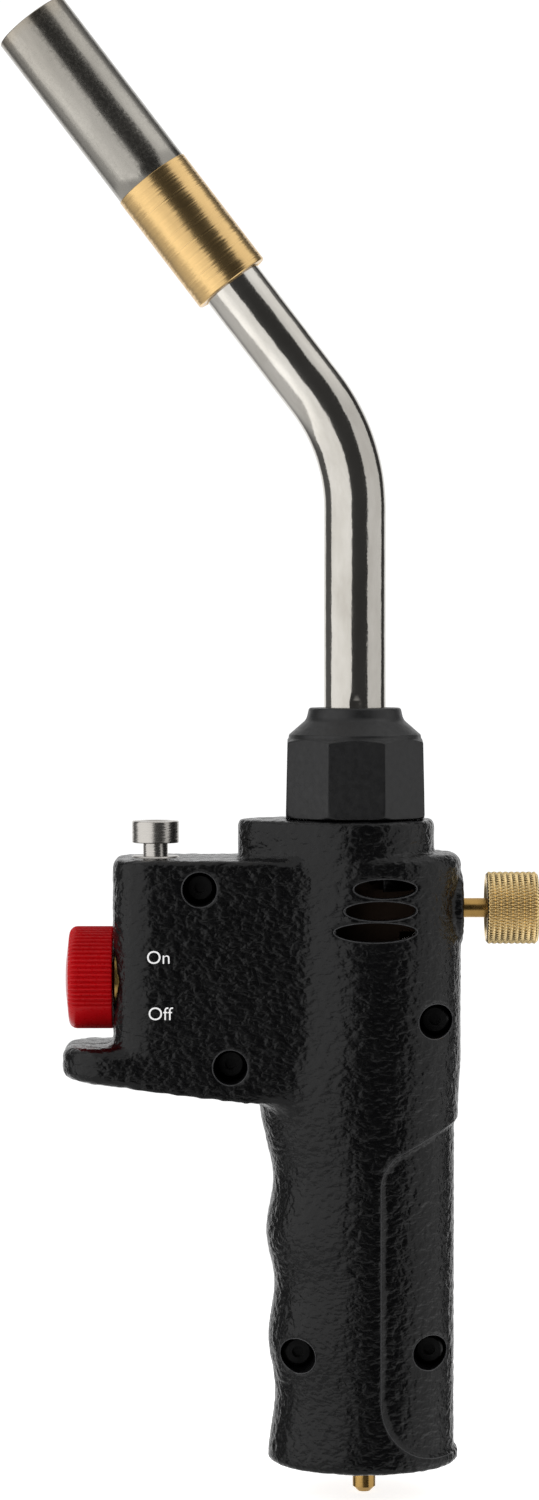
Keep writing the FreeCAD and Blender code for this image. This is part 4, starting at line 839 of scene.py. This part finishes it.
def ellipse_line(x, z, half_length, half_height, count=64):
    return [(x + half_length * math.cos(2 * math.pi * step / count),
             z + half_height * math.sin(2 * math.pi * step / count)) for step in range(count)]


def panel_line(rear):
    """Outline of the grip's panel, from its upper rear end round to its lower one."""
    left, shoulder, bottom, slope = 3.0, 63.05, 2.55, 0.5
    outline = softened([(rear, shoulder + (rear - left) * slope), (left, shoulder, 8.0),
                        (left, bottom, 12.0), (rear, bottom)], 14)
    return divided(outline, 0.8, closed=False)


def laid_bead(curve, find, outline, closed):
    """Adds a line that follows the housing's surface to the curve."""
    places = [find(x * MM, z * MM) for x, z in outline]
    places = [place for place in places if place]
    spline = curve.splines.new("POLY")
    spline.points.add(len(places) - 1)
    for point, place in zip(spline.points, places):
        point.co = (*place, 1.0)
    spline.use_cyclic_u = closed


def meshed(curve, name):
    """The curve or text as a mesh piece."""
    work = bpy.data.objects.new(name + "_work", curve)
    bpy.context.scene.collection.objects.link(work)
    shown = work.evaluated_get(bpy.context.evaluated_depsgraph_get())
    mesh = bpy.data.meshes.new_from_object(shown)
    bpy.data.objects.remove(work)
    with reshaped(mesh) as shape:
        bmesh.ops.remove_doubles(shape, verts=shape.verts, dist=SAME_PLACE)
        bmesh.ops.holes_fill(shape, edges=shape.edges, sides=0)
    piece = bpy.data.objects.new(name, mesh)
    bpy.context.scene.collection.objects.link(piece)
    mesh.materials.clear()
    return piece


# places on the housing's side in millimetres; each vent is its middle and length
SCREWS = [(-33.6, 118.5), (-27.4, 82.5), (14.2, 91.6), (-13.7, 23.6), (13.1, 24.1)]
VENTS = [(3.8, 118.75, 12.5), (2.9, 114.3, 14.4), (1.9, 110.0, 16.5)]
VENT_HEIGHT, WELL, STAND_OFF, PANEL_REAR = 3.7, 3.4, 0.22, 18.9


def fine_lines(side):
    """Raised lines left by the mould round the panel and the vents, and round the screw
    wells on the side that has them, coloured far lighter than the black skin as painted
    highlights along those edges.
    """
    find = surface_finder(side)
    curve = bpy.data.curves.new("lines", "CURVE")
    curve.dimensions = "3D"
    curve.bevel_depth = 0.14 * MM
    curve.bevel_resolution = 2
    curve.use_fill_caps = True
    laid_bead(curve, find, panel_line(PANEL_REAR), False)
    for x, z in SCREWS if side == VIEWED else []:
        laid_bead(curve, find, ellipse_line(x, z, WELL + STAND_OFF, WELL + STAND_OFF), True)
    for x, z, length in VENTS:
        laid_bead(curve, find, ellipse_line(x, z, length / 2 + STAND_OFF,
                                            VENT_HEIGHT / 2 + STAND_OFF), True)
    piece = meshed(curve, "edge_lines_painted_highlight_left" if side == VIEWED else "edge_lines_painted_highlight_right")
    # the lines' light grey is a painted highlight
    piece.data.materials.append(MATERIALS["edge_line_painted_highlight"])
    piece.data.shade_smooth()
    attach(piece, "handle")


def printed_word(word, x, z):
    """A small white word printed on the side that faces the viewer."""
    place = surface_finder(VIEWED)(x * MM, z * MM)
    text = bpy.data.curves.new("text_" + word, "FONT")
    text.body = word
    text.size = 3.75 * MM
    text.align_x = "CENTER"
    text.align_y = "CENTER"
    text.offset = -0.02 * MM
    text.extrude = 0.12 * MM
    piece = meshed(text, "print_" + word.lower())
    piece.data.transform(Matrix.Translation(place + Vector((0, -0.05 * MM, 0))) @ TO_VIEWER)
    piece.data.materials.append(GLOWING_PRINT)
    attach(piece, "handle")


fine_lines(VIEWED)
fine_lines(FAR)
printed_word("On", -41.9, 104.7)
printed_word("Off", -41.6, 93.3)


# ------------------------------------------------------------------ studio

def look_at(thing, target):
    thing.rotation_mode = "QUATERNION"
    thing.rotation_quaternion = (Vector(target) - thing.location).to_track_quat("-Z", "Y")


def softbox(name, azimuth, distance, height, size, power):
    """A soft light at an azimuth from the camera's side, positive towards +X."""
    light = bpy.data.lights.new(name, "AREA")
    light.shape = "RECTANGLE"
    light.size, light.size_y = size
    light.energy = power
    lamp = bpy.data.objects.new(name, light)
    bpy.context.scene.collection.objects.link(lamp)
    turn = math.radians(azimuth)
    lamp.location = (distance * math.sin(turn), -distance * math.cos(turn), height)
    look_at(lamp, (0, 0, height))


def floor():
    """Small pale disc under the torch, as bright as the backdrop."""
    shape = bmesh.new()
    bmesh.ops.create_circle(shape, cap_ends=True, segments=96, radius=0.26)
    mesh = bpy.data.meshes.new("floor")
    shape.to_mesh(mesh)
    shape.free()
    disc = bpy.data.objects.new("floor", mesh)
    disc.location.z = cad_box[0].z - 0.2 * MM
    bpy.context.scene.collection.objects.link(disc)
    g = Graph("pale_floor")
    tint = g.noise(g.place(), 3.0)
    pale = g.ramp(tint, [(0.3, (0.78, 0.78, 0.78)), (0.7, (0.80, 0.80, 0.80))])
    g.surface(Base_Color=pale, Roughness=0.9, Emission_Color=pale, Emission_Strength=1.05)
    mesh.materials.append(g.material)
    disc.visible_glossy = False
    disc.visible_diffuse = False


def backdrop():
    """White to the camera. To the torch, white behind it, grey at its left, pale above and
    below, and dark in front.
    """
    world = bpy.data.worlds.new("world")
    bpy.context.scene.world = world
    world.use_nodes = True
    tree = world.node_tree

    def add(kind, **settings):
        made = tree.nodes.new(kind)
        for name, setting in settings.items():
            setattr(made, name, setting)
        return made

    sheet_strength = 1.08
    way = add("ShaderNodeSeparateXYZ")
    tree.links.new(add("ShaderNodeTexCoord").outputs["Generated"], way.inputs[0])

    def band(axis, *numbers):
        """Brightness that passes from one value to another over a stretch of the axis."""
        made = add("ShaderNodeMapRange", interpolation_type="SMOOTHSTEP")
        tree.links.new(way.outputs[axis], made.inputs["Value"])
        for name, number in zip(("From Min", "From Max", "To Min", "To Max"), numbers):
            made.inputs[name].default_value = number
        return made.outputs["Result"]

    behind = band("Y", 0.70, 0.86, 0.0, 1.0)
    left = band("X", -0.9, 0.2, 0.11, 0.045)
    table = band("Z", -0.25, -0.55, 0.0, 0.6)
    ceiling = band("Z", 0.50, 0.85, 0.0, 0.7)
    total = behind
    for brightness in (left, table, ceiling):
        both = add("ShaderNodeMath", operation="ADD")
        tree.links.new(total, both.inputs[0])
        tree.links.new(brightness, both.inputs[1])
        total = both.outputs[0]
    room, sheet = tree.nodes["Background"], add("ShaderNodeBackground")
    tree.links.new(total, room.inputs["Strength"])
    room.inputs["Color"].default_value = (1, 1, 1, 1)
    sheet.inputs["Color"].default_value = (1, 1, 1, 1)
    sheet.inputs["Strength"].default_value = sheet_strength
    mix = add("ShaderNodeMixShader")
    tree.links.new(add("ShaderNodeLightPath").outputs["Is Camera Ray"], mix.inputs["Fac"])
    tree.links.new(room.outputs[0], mix.inputs[1])
    tree.links.new(sheet.outputs[0], mix.inputs[2])
    tree.links.new(mix.outputs[0], tree.nodes["World Output"].inputs["Surface"])


def camera():
    data = bpy.data.cameras.new("camera")
    data.lens = 88.0
    data.sensor_width = 36.0
    data.clip_start = 0.01
    view = bpy.data.objects.new("camera", data)
    bpy.context.scene.collection.objects.link(view)
    view.location = (-0.0195, -0.752, 0.1689)
    look_at(view, (-0.0195, 0, 0.1463))
    bpy.context.scene.camera = view


floor()
backdrop()
camera()
softbox("softbox_left", azimuth=-56, distance=0.80, height=0.33, size=(1.5, 1.15), power=5.7)
softbox("softbox_right", azimuth=80, distance=0.80, height=0.35, size=(1.06, 2.1), power=5.3)
bpy.context.scene.view_settings.view_transform = "Standard"
